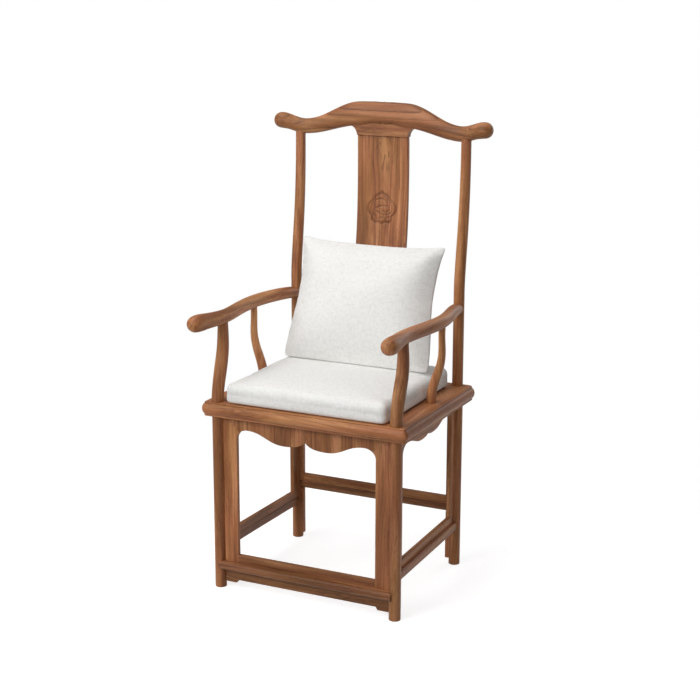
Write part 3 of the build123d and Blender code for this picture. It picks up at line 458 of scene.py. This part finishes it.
# -------------------- shaping tools
def link_mesh(name: str, shape: Shape, material: bpy.types.Material) -> Piece:
    """Turn a finished bmesh into an object of the scene.

    Args:
        name: The object's name.
        shape: The geometry, which is freed.
        material: Its material.

    Returns:
        The object, at the origin.
    """
    mesh = bpy.data.meshes.new(name)
    shape.to_mesh(mesh)
    shape.free()
    mesh.materials.append(material)
    mesh.polygons.foreach_set("use_smooth", [True] * len(mesh.polygons))
    return add_object(name, mesh)


def vertex_places(mesh: bpy.types.Mesh) -> np.ndarray:
    """Read a mesh's vertex places as rows."""
    flat = np.empty(3 * len(mesh.vertices))
    mesh.vertices.foreach_get("co", flat)
    return flat.reshape(-1, 3)


def place_vertices(mesh: bpy.types.Mesh, places: np.ndarray) -> None:
    """Write a mesh's vertex places from rows."""
    mesh.vertices.foreach_set("co", places.ravel())
    mesh.update()


def evaluated_mesh(piece: Piece) -> bpy.types.Mesh:
    """Copy a piece's mesh as its modifiers leave it."""
    return bpy.data.meshes.new_from_object(piece.evaluated_get(bpy.context.evaluated_depsgraph_get()))


def cut_across(shape: Shape, axis: int, stops: np.ndarray) -> None:
    """Cut a mesh through by planes square to one axis.

    Args:
        shape: The mesh.
        axis: 0, 1 or 2 for X, Y or Z.
        stops: Where the planes stand along that axis.
    """
    square = Vector([float(index == axis) for index in range(3)])
    for stop in stops:
        geometry = shape.verts[:] + shape.edges[:] + shape.faces[:]
        bmesh.ops.bisect_plane(shape, geom=geometry, dist=1e-7, plane_co=square * float(stop), plane_no=square)


def relax(piece: Piece, rounds: int, seam_depth: float) -> None:
    """Ease the folds of a settled cushion, apart from its seam.

    Args:
        piece: The settled cushion, lying in the XZ plane.
        rounds: How often each point moves half way to its neighbours.
        seam_depth: Points that lie nearer the plane than this are held.
    """
    shape = bmesh.new()
    shape.from_mesh(piece.data)
    loose = [vert for vert in shape.verts if abs(vert.co.y) > seam_depth]
    for _ in range(rounds):
        bmesh.ops.smooth_vert(shape, verts=loose, factor=0.5, use_axis_x=True, use_axis_y=True, use_axis_z=True)
    shape.to_mesh(piece.data)
    shape.free()


def smooth_rise(value: np.ndarray, low: float, high: float) -> np.ndarray:
    """Go from 0 at low to 1 at high, with soft ends."""
    share = np.clip((value - low) / (high - low), 0.0, 1.0)
    return share * share * (3 - 2 * share)


def straight_rise(value: float, low: float, high: float) -> float:
    """Go from 0 at low to 1 at high, in a straight line."""
    return max(0.0, min(1.0, (value - low) / (high - low)))


def soft_excess(value: np.ndarray, softness: float) -> np.ndarray:
    """Give how far each value lies above 0, with a soft start as long as the softness."""
    return softness * np.log1p(np.exp(np.clip(value / softness, -40, 40)))


@dataclass(frozen=True)
class Filling:
    """How a cushion is filled.

    The pressure is how hard the filling presses, frames is how many the cloth takes to settle, spare is
    how much more cloth there is than the shape shows, and the stiffness is how little the cloth stretches.
    """

    pressure: float
    frames: int
    spare: float
    stiffness: float


def inflate(piece: Piece, filling: Filling, held: np.ndarray) -> None:
    """Fill a closed cloth shape and keep the result in its mesh.

    Args:
        piece: The closed shape.
        filling: How it is filled.
        held: True for each vertex that stays where it is. The spare cloth gathers at these.
    """
    pinned = piece.vertex_groups.new(name="pinned")
    pinned.add(np.nonzero(held)[0].tolist(), 1.0, "REPLACE")
    cloth = piece.modifiers.new("cloth", "CLOTH")
    settings = cloth.settings
    settings.quality = 6
    settings.mass = 0.3
    settings.tension_stiffness = filling.stiffness
    settings.compression_stiffness = filling.stiffness
    settings.shear_stiffness = filling.stiffness / 4
    settings.bending_stiffness = 0.3
    settings.shrink_min = -filling.spare
    settings.use_pressure = True
    settings.uniform_pressure_force = filling.pressure
    settings.effector_weights.gravity = 0.0
    settings.vertex_group_mass = pinned.name
    cloth.collision_settings.use_collision = False
    cloth.collision_settings.use_self_collision = False
    cloth.point_cache.frame_start = 1
    cloth.point_cache.frame_end = filling.frames
    scene = bpy.context.scene
    for frame_number in range(1, filling.frames + 1):
        scene.frame_set(frame_number)
    settled = evaluated_mesh(piece)
    places = vertex_places(settled)
    piece.modifiers.remove(cloth)
    piece.vertex_groups.remove(pinned)
    place_vertices(piece.data, places)
    bpy.data.meshes.remove(settled)
    scene.frame_set(1)


def refine(piece: Piece) -> None:
    """Divide a settled cushion's faces once more and keep the result in its mesh."""
    finer = piece.modifiers.new("finer", "SUBSURF")
    finer.levels = 1
    finer.render_levels = 1
    fine = evaluated_mesh(piece)
    piece.modifiers.remove(finer)
    coarse = piece.data
    piece.data = fine
    bpy.data.meshes.remove(coarse)


# -------------------- seat cushion
@dataclass
class SeatCushion:
    """The loose seat cushion: two panels sewn together half way up a soft edge.

    Where the pillow stands, the top is pressed into a dent that runs across the cushion.
    """

    low: Vector
    high: Vector
    finish: Linen
    swell: float = 0.004
    spill: float = 0.0025
    plan_radius: float = 0.018
    top_radius: float = 0.018
    foot_radius: float = 0.008
    wall_height: float = 0.051
    crown: float = 0.0175
    seam_height: float = 0.024
    seam_depth: float = 0.0007
    seam_width: float = 0.0024
    pitch: float = 0.006
    filling: Filling = Filling(pressure=4.0, frames=20, spare=0.015, stiffness=30.0)
    under_gap: float = 0.0008
    least_gap: float = 0.0005
    resting_band: float = 0.002
    edge_power: int = 9
    edge_start: float = 0.88
    edge_band: float = 0.08
    pucker: float = 0.0012
    pucker_reach: float = 0.011
    pucker_scale: Place = (55.0, 55.0, 9.0)
    slack_scale: float = 16.0
    bolt_shift: Place = (0.7, 0.9, 0.3)
    edge_slack: float = 0.0005
    top_slack: float = 0.0013
    top_start: float = 0.03
    top_band: float = 0.02
    dent_y: float = 0.0936
    dent_height: float = 0.5484
    dent_reach: float = 0.075
    dent_rise: float = 0.013
    dent_half_width: float = 0.19
    dent_side_reach: float = 0.03
    dent_side_rise: float = 0.02
    dent_softness: float = 0.0015

    def build(self) -> Piece:
        """Cut, stuff and place the cushion."""
        piece = link_mesh("seat_cushion_linen", self.cut(), self.finish.material("seat_cushion"))
        self.stuff(piece)
        refine(piece)
        self.sew(piece)
        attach(piece, "root")
        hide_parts("seat_cushion")
        log.info("seat cushion: %d faces", len(piece.data.polygons))
        return piece

    def half_sizes(self) -> tuple[float, float]:
        """Half width and half depth of the cushion before it is stuffed."""
        room = self.spill - self.swell
        return (self.high.x - self.low.x) / 2 + room, (self.high.y - self.low.y) / 2 + room

    def cut(self) -> Shape:
        """Make the unstuffed cushion: a box of square patches with rounded edges and cloth coordinates.

        Returns:
            The closed box, with a UV map in metres of cloth.
        """
        half_x, half_y = self.half_sizes()
        bottom, top = self.low.z + self.under_gap, self.low.z + self.wall_height
        middle = Vector(((self.low.x + self.high.x) / 2, (self.low.y + self.high.y) / 2, (bottom + top) / 2))
        half = Vector((half_x, half_y, (top - bottom) / 2))
        shape = bmesh.new()
        bmesh.ops.create_cube(shape, size=1.0)
        bmesh.ops.scale(shape, vec=half * 2, verts=shape.verts)
        for axis in range(3):
            count = round(2 * half[axis] / self.pitch)
            cut_across(shape, axis, np.linspace(-half[axis], half[axis], count + 1)[1:-1])
        cloth = shape.loops.layers.uv.new("cloth")
        for face in shape.faces:
            out = face.normal
            along, up = (0, 1) if abs(out.z) > 0.5 else (0, 2) if abs(out.y) > 0.5 else (1, 2)
            # Each side takes its cloth from another part of the bolt.
            bolt_along = self.bolt_shift[0] * out.x + self.bolt_shift[2] * out.z
            bolt_up = self.bolt_shift[1] * out.y
            for loop in face.loops:
                place = loop.vert.co
                loop[cloth].uv = (place[along] + bolt_along, place[up] + bolt_up)
        for vert in shape.verts:
            vert.co = self.rounded(vert.co, half) + middle
        bmesh.ops.recalc_face_normals(shape, faces=shape.faces)
        return shape

    def rounded(self, place: Vector, half: Vector) -> Vector:
        """Move a point of a square box onto the box with rounded edges.

        Args:
            place: A point on the box, measured from its middle.
            half: The box's half sizes.

        Returns:
            The point, with a wide rounding above and in plan and a narrow one below.
        """
        wide = self.plan_radius
        radius = self.top_radius if place.z > 0 else self.foot_radius
        core_x = max(wide - half.x, min(half.x - wide, place.x))
        core_y = max(wide - half.y, min(half.y - wide, place.y))
        off_x, off_y = place.x - core_x, place.y - core_y
        reach = max(abs(off_x), abs(off_y))
        out = reach - (wide - radius)
        up = abs(place.z) - (half.z - radius)
        height = abs(place.z)
        if out > 0 and up > 0:
            scale = radius / math.hypot(out, up)
            reach = wide - radius + out * scale
            height = half.z - radius + up * scale
        length = math.hypot(off_x, off_y)
        if length > 0:
            off_x, off_y = off_x / length * reach, off_y / length * reach
        return Vector((core_x + off_x, core_y + off_y, math.copysign(height, place.z)))

    def stuff(self, piece: Piece) -> None:
        """Inflate the cushion over a flat underside, then set how far it crowns and swells.

        Args:
            piece: The unstuffed cushion.
        """
        start = vertex_places(piece.data)
        inflate(piece, self.filling, start[:, 2] < self.low.z + self.resting_band)
        settled = vertex_places(piece.data)
        moved = settled - start
        rise = moved[:, 2].max()
        sideways = max(np.abs(moved[:, 0]).max(), np.abs(moved[:, 1]).max())
        moved[:, 2] *= self.crown / rise
        moved[:, :2] *= self.swell / sideways
        place_vertices(piece.data, start + moved)

    def sew(self, piece: Piece) -> None:
        """Draw in the seam, pucker the cloth beside it and press the cushion where the pillow stands.

        Args:
            piece: The stuffed cushion.
        """
        places = vertex_places(piece.data)
        middle_x, middle_y = (self.low.x + self.high.x) / 2, (self.low.y + self.high.y) / 2
        half_x, half_y = self.half_sizes()
        across = (places[:, 0] - middle_x) / half_x
        back = (places[:, 1] - middle_y) / half_y
        outward = np.stack([np.sign(off) * np.abs(off) ** self.edge_power for off in (across, back)], axis=1)
        outward /= np.maximum(np.linalg.norm(outward, axis=1, keepdims=True), 1e-6)
        rim = np.maximum(np.abs(across), np.abs(back))
        at_edge = np.clip((rim - self.edge_start) / self.edge_band, 0, 1)
        height = places[:, 2] - self.low.z
        pull = self.seam_depth * np.exp(-(((height - self.seam_height) / self.seam_width) ** 2)) * at_edge
        for index, place in enumerate(places):
            spot = Vector(place)
            ruck = noise.noise(Vector([part * scale for part, scale in zip(spot, self.pucker_scale)]))
            slack = noise.noise(Vector((spot.x * self.slack_scale, spot.y * self.slack_scale, 3.1)))
            off_seam = (height[index] - self.seam_height) / self.pucker_reach
            near_seam = at_edge[index] * math.exp(-(off_seam**2))
            pull[index] += self.pucker * ruck * near_seam + self.edge_slack * slack * at_edge[index]
            above = (height[index] - self.top_start) / self.top_band
            if above > 0:
                places[index, 2] += self.top_slack * slack * min(1.0, above)
        places[:, :2] -= outward * pull[:, None]
        from_line = (places[:, 1] - self.dent_y) / self.dent_reach
        beside = np.clip((np.abs(places[:, 0]) - self.dent_half_width) / self.dent_side_reach, 0, 1)
        ceiling = self.dent_height + self.dent_rise * from_line**2 + self.dent_side_rise * beside**2
        places[:, 2] -= soft_excess(places[:, 2] - ceiling, self.dent_softness)
        places[:, 2] = np.maximum(places[:, 2], self.low.z + self.least_gap)
        place_vertices(piece.data, places)


# -------------------- back pillow
@dataclass
class BackPillow:
    """The knife-edge back pillow: two square panels sewn round their rims, leaning on the splat."""

    centre: Vector
    finish: Linen
    tilt: float = math.radians(19.7)
    width: float = 0.415
    height: float = 0.338
    thickness: float = 0.122
    pitch: float = 0.0062
    top_draw: float = 0.0125
    side_draw: float = 0.017
    foot_draw: float = 0.001
    foot_corner: float = 0.030
    top_corner: float = 0.020
    hold_power: float = 3.5
    foot_hold: float = 0.75
    foot_hold_span: tuple[float, float] = (-0.2, 0.75)
    fullness_power: int = 6
    bolt_shift: float = 0.8
    settle: float = 0.003
    rest_height: float = 0.5489
    foot_softness: float = 0.003
    filling: Filling = Filling(pressure=5.0, frames=24, spare=0.012, stiffness=14.0)
    start_depth: float = 0.03
    sewn_band: float = 0.001
    eased_rounds: int = 16
    eased_band: float = 0.002
    pucker: float = 0.0022
    pucker_scale: float = 62.0
    pucker_span: tuple[float, float] = (0.62, 0.92)
    stitch_span: tuple[float, float] = (0.97, 1.0)
    slack: float = 0.0028
    slack_scale: float = 9.0

    def build(self) -> Piece:
        """Cut, stuff, sew and lean the pillow."""
        piece = link_mesh("back_pillow_linen", self.cut(), self.finish.material("back_pillow"))
        self.stuff(piece)
        refine(piece)
        self.ruffle(piece)
        self.lean(piece)
        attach(piece, "root")
        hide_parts("back_pillow")
        log.info("back pillow: %d faces", len(piece.data.polygons))
        return piece

    def cut(self) -> Shape:
        """Make the two panels, joined round the rim and parted a little between.

        Returns:
            The closed shape, lying in the XZ plane with its front towards -Y, with cloth coordinates.
        """
        columns = round(self.width / self.pitch)
        rows = round(self.height / self.pitch)
        shape = bmesh.new()
        cloth = shape.loops.layers.uv.new("cloth")
        for side in (-1, 1):
            panel = bmesh.ops.create_grid(shape, x_segments=columns, y_segments=rows, size=1.0)["verts"]
            for vert in panel:
                vert.co = self.panel_place(vert.co.x, vert.co.y, side)
                # The two panels are cut side by side from the bolt.
                for loop in vert.link_loops:
                    loop[cloth].uv = (vert.co.x + self.bolt_shift * side, vert.co.z)
        bmesh.ops.remove_doubles(shape, verts=shape.verts, dist=0.0001)
        bmesh.ops.recalc_face_normals(shape, faces=shape.faces)
        return shape

    def panel_place(self, u: float, v: float, side: int) -> Place:
        """Place one point of a panel before it is stuffed.

        Args:
            u: Place across the panel, -1 to 1.
            v: Place up the panel, -1 to 1.
            side: -1 for the front panel and 1 for the back one.

        Returns:
            The point. The rim is drawn in between its corners, least at the foot, where it carries weight.
        """
        draw_up = self.top_draw if v > 0 else self.foot_draw
        hold_x = 1 - abs(u) ** self.hold_power
        hold_z = 1 - abs(v) ** self.hold_power
        low_side = 1 - self.foot_hold * smooth_rise(np.float64(-v), *self.foot_hold_span)
        x = u * (self.width / 2 - self.side_draw * hold_z * low_side * abs(u))
        z = v * (self.height / 2 - draw_up * hold_x * abs(v))
        # The corners are rounded by moving each square ring of the panel onto a rounded one.
        corner = self.top_corner if v > 0 else self.foot_corner
        over_x = abs(x) - (self.width / 2 - corner)
        over_z = abs(z) - (self.height / 2 - corner)
        if over_x > 0 and over_z > 0:
            scale = max(over_x, over_z) / math.hypot(over_x, over_z)
            x = math.copysign(self.width / 2 - corner + over_x * scale, x)
            z = math.copysign(self.height / 2 - corner + over_z * scale, z)
        # Rounded, so that the grid's last digits don't part the panels at the rim.
        fullness = round((1 - u**self.fullness_power) * (1 - v**self.fullness_power), 5)
        depth = side * self.start_depth * math.sqrt(max(0.0, fullness))
        return x, depth, z

    def stuff(self, piece: Piece) -> None:
        """Inflate the pillow inside its sewn rim, and bring it to its finished thickness."""
        start = vertex_places(piece.data)
        inflate(piece, self.filling, np.abs(start[:, 1]) < self.sewn_band)
        relax(piece, self.eased_rounds, self.eased_band)
        places = vertex_places(piece.data)
        places[:, 1] *= self.thickness / (places[:, 1].max() - places[:, 1].min())
        place_vertices(piece.data, places)

    def ruffle(self, piece: Piece) -> None:
        """Pucker the cloth along the seam and slacken the faces a little."""
        places = vertex_places(piece.data)
        for index, place in enumerate(places):
            u, v = 2 * place[0] / self.width, 2 * place[2] / self.height
            edge = max(abs(u), abs(v))
            # Each seam has its own row of puckers, which fade towards the face and stop at the stitching.
            along, row = (place[2], 5.3) if abs(u) > abs(v) else (place[0], 9.1)
            wave = noise.noise(Vector((along * self.pucker_scale, row, np.sign(u) + 2 * np.sign(v))))
            near = straight_rise(edge, *self.pucker_span) * (1 - straight_rise(edge, *self.stitch_span))
            x, y, z = place * self.slack_scale
            slack = noise.noise(Vector((x, y, z + 4.2)))
            shift = self.pucker * wave * near + self.slack * slack * (1 - edge**4)
            places[index, 1] += np.sign(place[1]) * shift
        place_vertices(piece.data, places)

    def lean(self, piece: Piece) -> None:
        """Turn the pillow back and let its foot settle flat on the seat cushion."""
        drop = Vector((0.0, 0.0, -self.settle))
        placed = Matrix.Translation(self.centre + drop) @ Matrix.Rotation(-self.tilt, 4, "X")
        piece.data.transform(placed)
        places = vertex_places(piece.data)
        places[:, 2] += soft_excess(self.rest_height - places[:, 2], self.foot_softness)
        place_vertices(piece.data, places)


# -------------------- carved splat
def rounded_path(corners: tuple[tuple[float, float], ...]) -> np.ndarray:
    """Lead a smooth path through a few points.

    Args:
        corners: The points, in millimetres across and up.

    Returns:
        Close points along the path, in metres.
    """
    fixed = np.array([corners[0], *corners, corners[-1]]) / 1000
    share = np.linspace(0, 1, 8, endpoint=False)[:, None]
    runs = []
    for before, start, end, after in zip(fixed, fixed[1:], fixed[2:], fixed[3:]):
        bend = 2 * before - 5 * start + 4 * end - after
        twist = 3 * start - before - 3 * end + after
        runs.append(start + ((end - before) * share + bend * share**2 + twist * share**3) / 2)
    return np.concatenate([*runs, fixed[-1:]])


def path_distance(x: np.ndarray, z: np.ndarray, path: np.ndarray) -> np.ndarray:
    """Measure how far points lie from a path.

    Args:
        x: Places across.
        z: Heights.
        path: Points along the path.

    Returns:
        The distances, in the same unit.
    """
    nearest = np.full(x.shape, np.inf)
    for start, end in zip(path, path[1:]):
        run = end - start
        share = np.clip(((x - start[0]) * run[0] + (z - start[1]) * run[1]) / max(run.dot(run), 1e-12), 0, 1)
        nearest = np.minimum(nearest, np.hypot(x - start[0] - share * run[0], z - start[1] - share * run[1]))
    return nearest


@dataclass(frozen=True)
class Medallion:
    """A round cloud scroll in a lobed rim with a pointed top, cut with a V-tool.

    The rim's right half and the scrolls are drawn in millimetres from the middle. Depths and widths are
    in metres. The hand sways, so no cut is equally deep all along.
    """

    rim_depth: float = 0.0026
    rim_width: float = 0.0029
    scroll_depth: float = 0.0018
    scroll_width: float = 0.0022
    # The share of painted shade at the bottom of the deepest cuts.
    groove_shade_share: float = 0.60
    hand_sway: tuple[float, float] = (-110.0, 75.0)
    half_rim: tuple[tuple[float, float], ...] = (
        (0.0, 42.5), (3.5, 37.5), (9.0, 35.0), (17.0, 30.5), (21.0, 23.5), (28.0, 17.0), (35.5, 9.0), (39.5, 0.5),
        (38.0, -8.0), (33.5, -15.5), (27.5, -21.5), (26.0, -30.5), (19.0, -37.5), (8.5, -36.0), (0.0, -41.0),
    )
    scrolls: tuple[tuple[tuple[float, float], ...], ...] = (
        ((-31.0, -12.0), (-30.5, 2.0), (-24.5, 13.5), (-14.0, 21.5), (-1.5, 24.0), (8.5, 20.5), (13.0, 13.0)),
        ((4.5, 31.0), (12.0, 25.0), (22.0, 17.5), (29.0, 7.0), (29.0, -4.0), (22.5, -13.5), (11.0, -18.0)),
        ((-15.0, 0.0), (-5.0, 5.0), (8.0, 6.0), (18.0, 3.5), (20.5, -5.0), (12.0, -10.5), (3.0, -8.0)),
        ((-13.0, -9.5), (-4.0, -15.0), (4.0, -18.5), (8.5, -14.5)),
        ((-25.0, -16.0), (-16.5, -23.0), (-13.5, -32.0)),
        ((-7.0, -27.5), (1.5, -24.0), (9.0, -27.5), (8.0, -33.0)),
        ((17.0, -24.0), (22.5, -22.0), (24.5, -27.5)),
    )

    def depth(self, x: np.ndarray, z: np.ndarray) -> np.ndarray:
        """Give how deep the carving lies behind the board's face.

        Args:
            x: Places across the board, from the medallion's middle.
            z: Heights from the medallion's middle.

        Returns:
            The depths in metres, nothing far outside the rim.
        """
        rim = rounded_path(self.half_rim)
        off_rim = path_distance(np.abs(x), z, rim)
        depth = self.rim_depth * np.exp(-((off_rim / self.rim_width) ** 2))
        for scroll in self.scrolls:
            off = path_distance(x, z, rounded_path(scroll))
            depth = np.maximum(depth, self.scroll_depth * np.exp(-((off / self.scroll_width) ** 2)))
        depth *= 0.8 + 0.2 * np.sin(self.hand_sway[0] * x + self.hand_sway[1] * z)
        return np.where(depth < 2e-5, 0.0, depth)


@dataclass
class CarvedSplat:
    """The back splat, with a lobed medallion carved into its front."""

    solid: Piece
    finish: Hardwood
    medallion: Medallion
    half_width: float = 0.071
    thickness: float = 0.012
    corner_radius: float = 0.002
    foot: float = 0.4902
    top: float = 1.1138
    centre_z: float = 0.928
    fine_pitch: float = 0.00095
    coarse_pitch: float = 0.006
    half_field: tuple[float, float] = (0.046, 0.050)
    probe_x: float = 0.031
    stick: int = 5
    figure_strength: float = 0.9

    def build(self) -> Piece:
        """Saw, carve and finish the splat."""
        material = self.finish.material(
            "splat_carved", GrainRun.UPRIGHT, self.stick, self.figure_strength, shading_tone=1.0, carved=True
        )
        piece = link_mesh("splat_carved", self.carve(), material)
        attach(piece, "root")
        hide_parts("splat")
        log.info("carved splat: %d faces", len(piece.data.polygons))
        return piece

    def front_line(self, heights: np.ndarray) -> np.ndarray:
        """Read where the solid splat's front stands at each height."""
        tree = BVHTree.FromObject(self.solid, bpy.context.evaluated_depsgraph_get())
        starts = (Vector((self.probe_x, -1.0, float(z))) for z in heights)
        return np.array([tree.ray_cast(start, Vector((0.0, 1.0, 0.0)))[0].y for start in starts])

    def stops(self, low: float, high: float, fine_low: float, fine_high: float) -> np.ndarray:
        """Lay out grid lines: coarse at both ends and fine between."""
        ends = (low, fine_low, fine_high, high)
        pitches = (self.coarse_pitch, self.fine_pitch, self.coarse_pitch)
        lines = [
            np.linspace(start, end, max(2, round((end - start) / pitch) + 1))[1:]
            for start, end, pitch in zip(ends, ends[1:], pitches)
        ]
        return np.concatenate([[low], *lines])

    def carve(self) -> Shape:
        """Saw the board from a block, bend it to its curve and cut the relief in its front.

        Returns:
            The closed board, with an attribute of painted shade that is strongest in the deepest cuts.
        """
        flat = self.half_width - self.corner_radius
        across = self.stops(-flat, flat, -self.half_field[0], self.half_field[0])
        field_low, field_high = self.centre_z - self.half_field[1], self.centre_z + self.half_field[1]
        heights = self.stops(self.foot, self.top, field_low, field_high)
        front = self.front_line(heights)
        shape = bmesh.new()
        bmesh.ops.create_cube(shape, size=1.0)
        bmesh.ops.scale(shape, vec=(2 * self.half_width, self.thickness, self.top - self.foot), verts=shape.verts)
        bmesh.ops.translate(shape, vec=(0.0, self.thickness / 2, (self.top + self.foot) / 2), verts=shape.verts)
        arrises = [edge for edge in shape.edges if edge.calc_length() > self.top - self.foot - self.coarse_pitch]
        bmesh.ops.bevel(
            shape, geom=arrises, offset=self.corner_radius, segments=5, profile=0.5, affect="EDGES", material=-1
        )
        cut_across(shape, 0, across[1:-1])
        cut_across(shape, 2, heights[1:-1])
        places = np.array([vert.co for vert in shape.verts])
        facing = (places[:, 1] < 1e-6) & (np.abs(places[:, 0]) < flat)
        depth = np.zeros(len(places))
        depth[facing] = self.medallion.depth(places[facing, 0], places[facing, 2] - self.centre_z)
        bend = np.interp(places[:, 2], heights, front)
        groove_shade = shape.verts.layers.float.new("groove_shade")
        for vert, cut, shift in zip(shape.verts, depth, bend):
            vert.co.y += cut + shift
            # Painted shade in the cuts, growing with depth up to its full share at the rim's depth.
            vert[groove_shade] = self.medallion.groove_shade_share * min(1.0, cut / self.medallion.rim_depth)
        bmesh.ops.recalc_face_normals(shape, faces=shape.faces)
        return shape


# -------------------- studio
@dataclass(frozen=True)
class Lamp:
    """A square lamp: its name, where it hangs, its side in metres and its power in watts."""

    name: str
    place: Place
    size: float
    power: float


@dataclass(frozen=True)
class Studio:
    """A pale floor, soft lamps and the camera."""

    target: Place = (0.00637, -0.02124, 0.6)
    azimuth: float = 26.28
    elevation: float = 14.31
    distance: float = 3.977
    focal_px: float = 1598.7
    principal_px: tuple[float, float] = (336.8, 354.7)
    frame_px: float = 700.0
    sensor_mm: float = 36.0
    floor_size: float = 30.0
    lamp_target: Place = (0.0, 0.0, 0.6)
    lamps: tuple[Lamp, ...] = (
        Lamp("key", (-0.9, -2.4, 1.95), 1.6, 42.0),
        Lamp("fill", (2.6, -1.9, 1.3), 1.8, 4.0),
        Lamp("top", (-0.5, -0.5, 3.0), 1.6, 30.0),
        Lamp("rear", (0.9, 2.9, 1.7), 1.8, 20.0),
    )

    def build(self) -> None:
        """Set up the whole studio."""
        self.place_camera()
        self.lay_floor()
        self.light_world()
        self.hang_lamps()
        bpy.context.scene.view_settings.view_transform = "Standard"

    def back(self) -> Vector:
        """Give the direction from the target to the camera."""
        turn, rise = math.radians(self.azimuth), math.radians(self.elevation)
        return Vector((math.sin(turn) * math.cos(rise), -math.cos(turn) * math.cos(rise), math.sin(rise)))

    def place_camera(self) -> None:
        """Create the camera."""
        data = bpy.data.cameras.new("camera")
        data.sensor_width = self.sensor_mm
        data.lens = self.focal_px / self.frame_px * self.sensor_mm
        data.shift_x = (self.frame_px / 2 - self.principal_px[0]) / self.frame_px
        data.shift_y = (self.principal_px[1] - self.frame_px / 2) / self.frame_px
        camera = add_object("camera", data)
        camera.location = Vector(self.target) + self.back() * self.distance
        camera.rotation_euler = (-self.back()).to_track_quat("-Z", "Y").to_euler()
        bpy.context.scene.camera = camera

    def lay_floor(self) -> None:
        """Lay the pale floor, which shows white to the camera but keeps the chair's shadow."""
        shape = bmesh.new()
        bmesh.ops.create_grid(shape, x_segments=1, y_segments=1, size=self.floor_size)
        material, desk = start_material("floor")
        matt = desk.add("BsdfDiffuse", {"Color": (0.52, 0.52, 0.52, 1.0)})
        glow = desk.add("Emission", {"Color": WHITE, "Strength": 0.76})
        near = desk.add("AddShader", {0: matt.outputs[0], 1: glow.outputs[0]})
        far = desk.add("Emission", {"Color": WHITE, "Strength": 1.0})
        place = desk.add("TexCoord").outputs["Object"]
        away = desk.add("VectorMath", {0: place}, operation="LENGTH").outputs["Value"]
        lifted = desk.add("MixShader", {0: desk.spread(away, 0.6, 1.3), 1: near.outputs[0], 2: far.outputs[0]})
        path = desk.add("LightPath")
        seen = desk.math("MAXIMUM", path.outputs["Is Camera Ray"], path.outputs["Is Glossy Ray"])
        bounce = desk.add("BsdfDiffuse", {"Color": (0.42, 0.42, 0.42, 1.0)})
        choice = desk.add("MixShader", {0: seen, 1: bounce.outputs[0], 2: lifted.outputs[0]})
        desk.add("OutputMaterial", {"Surface": choice.outputs[0]})
        floor = link_mesh("floor", shape, material)

    def light_world(self) -> None:
        """Give an even sky that the camera sees as white."""
        world = bpy.data.worlds.new("studio")
        bpy.context.scene.world = world
        world.use_nodes = True
        world.node_tree.nodes.clear()
        desk = NodeDesk(world.node_tree)
        fill = desk.add("Background", {"Color": (1.0, 0.995, 0.985, 1.0), "Strength": 0.27})
        white = desk.add("Background", {"Color": WHITE, "Strength": 1.0})
        path = desk.add("LightPath")
        choice = desk.add("MixShader", {0: path.outputs["Is Camera Ray"], 1: fill.outputs[0], 2: white.outputs[0]})
        desk.add("OutputWorld", {"Surface": choice.outputs[0]})

    def hang_lamps(self) -> None:
        """Hang the soft lamps, each facing the chair."""
        for lamp in self.lamps:
            data = bpy.data.lights.new(lamp.name, "AREA")
            data.shape = "SQUARE"
            data.size = lamp.size
            data.energy = lamp.power
            hung = add_object(lamp.name, data)
            hung.location = lamp.place
            aim = Vector(self.lamp_target) - Vector(lamp.place)
            hung.rotation_euler = aim.to_track_quat("-Z", "Y").to_euler()


def main() -> None:
    """Dress the chair and light it."""
    logging.basicConfig(level=logging.INFO, format="%(name)s: %(message)s")
    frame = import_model()
    hardwood_figure_group()
    eased_edge_group()
    linen_weave_group()
    wood, linen = Hardwood(), Linen()
    nodes = frame["nodes"]
    Joinery(nodes, wood).dress()
    CarvedSplat(nodes["splat"], wood, Medallion()).build()
    cushion_low, cushion_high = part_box("seat_cushion")
    SeatCushion(Vector(cushion_low), Vector(cushion_high), linen).build()
    pillow_low, pillow_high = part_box("back_pillow")
    pillow_centre = (Vector(pillow_low) + Vector(pillow_high)) / 2
    BackPillow(pillow_centre, linen).build()
    Studio().build()


if __name__ == "__main__":
    main()
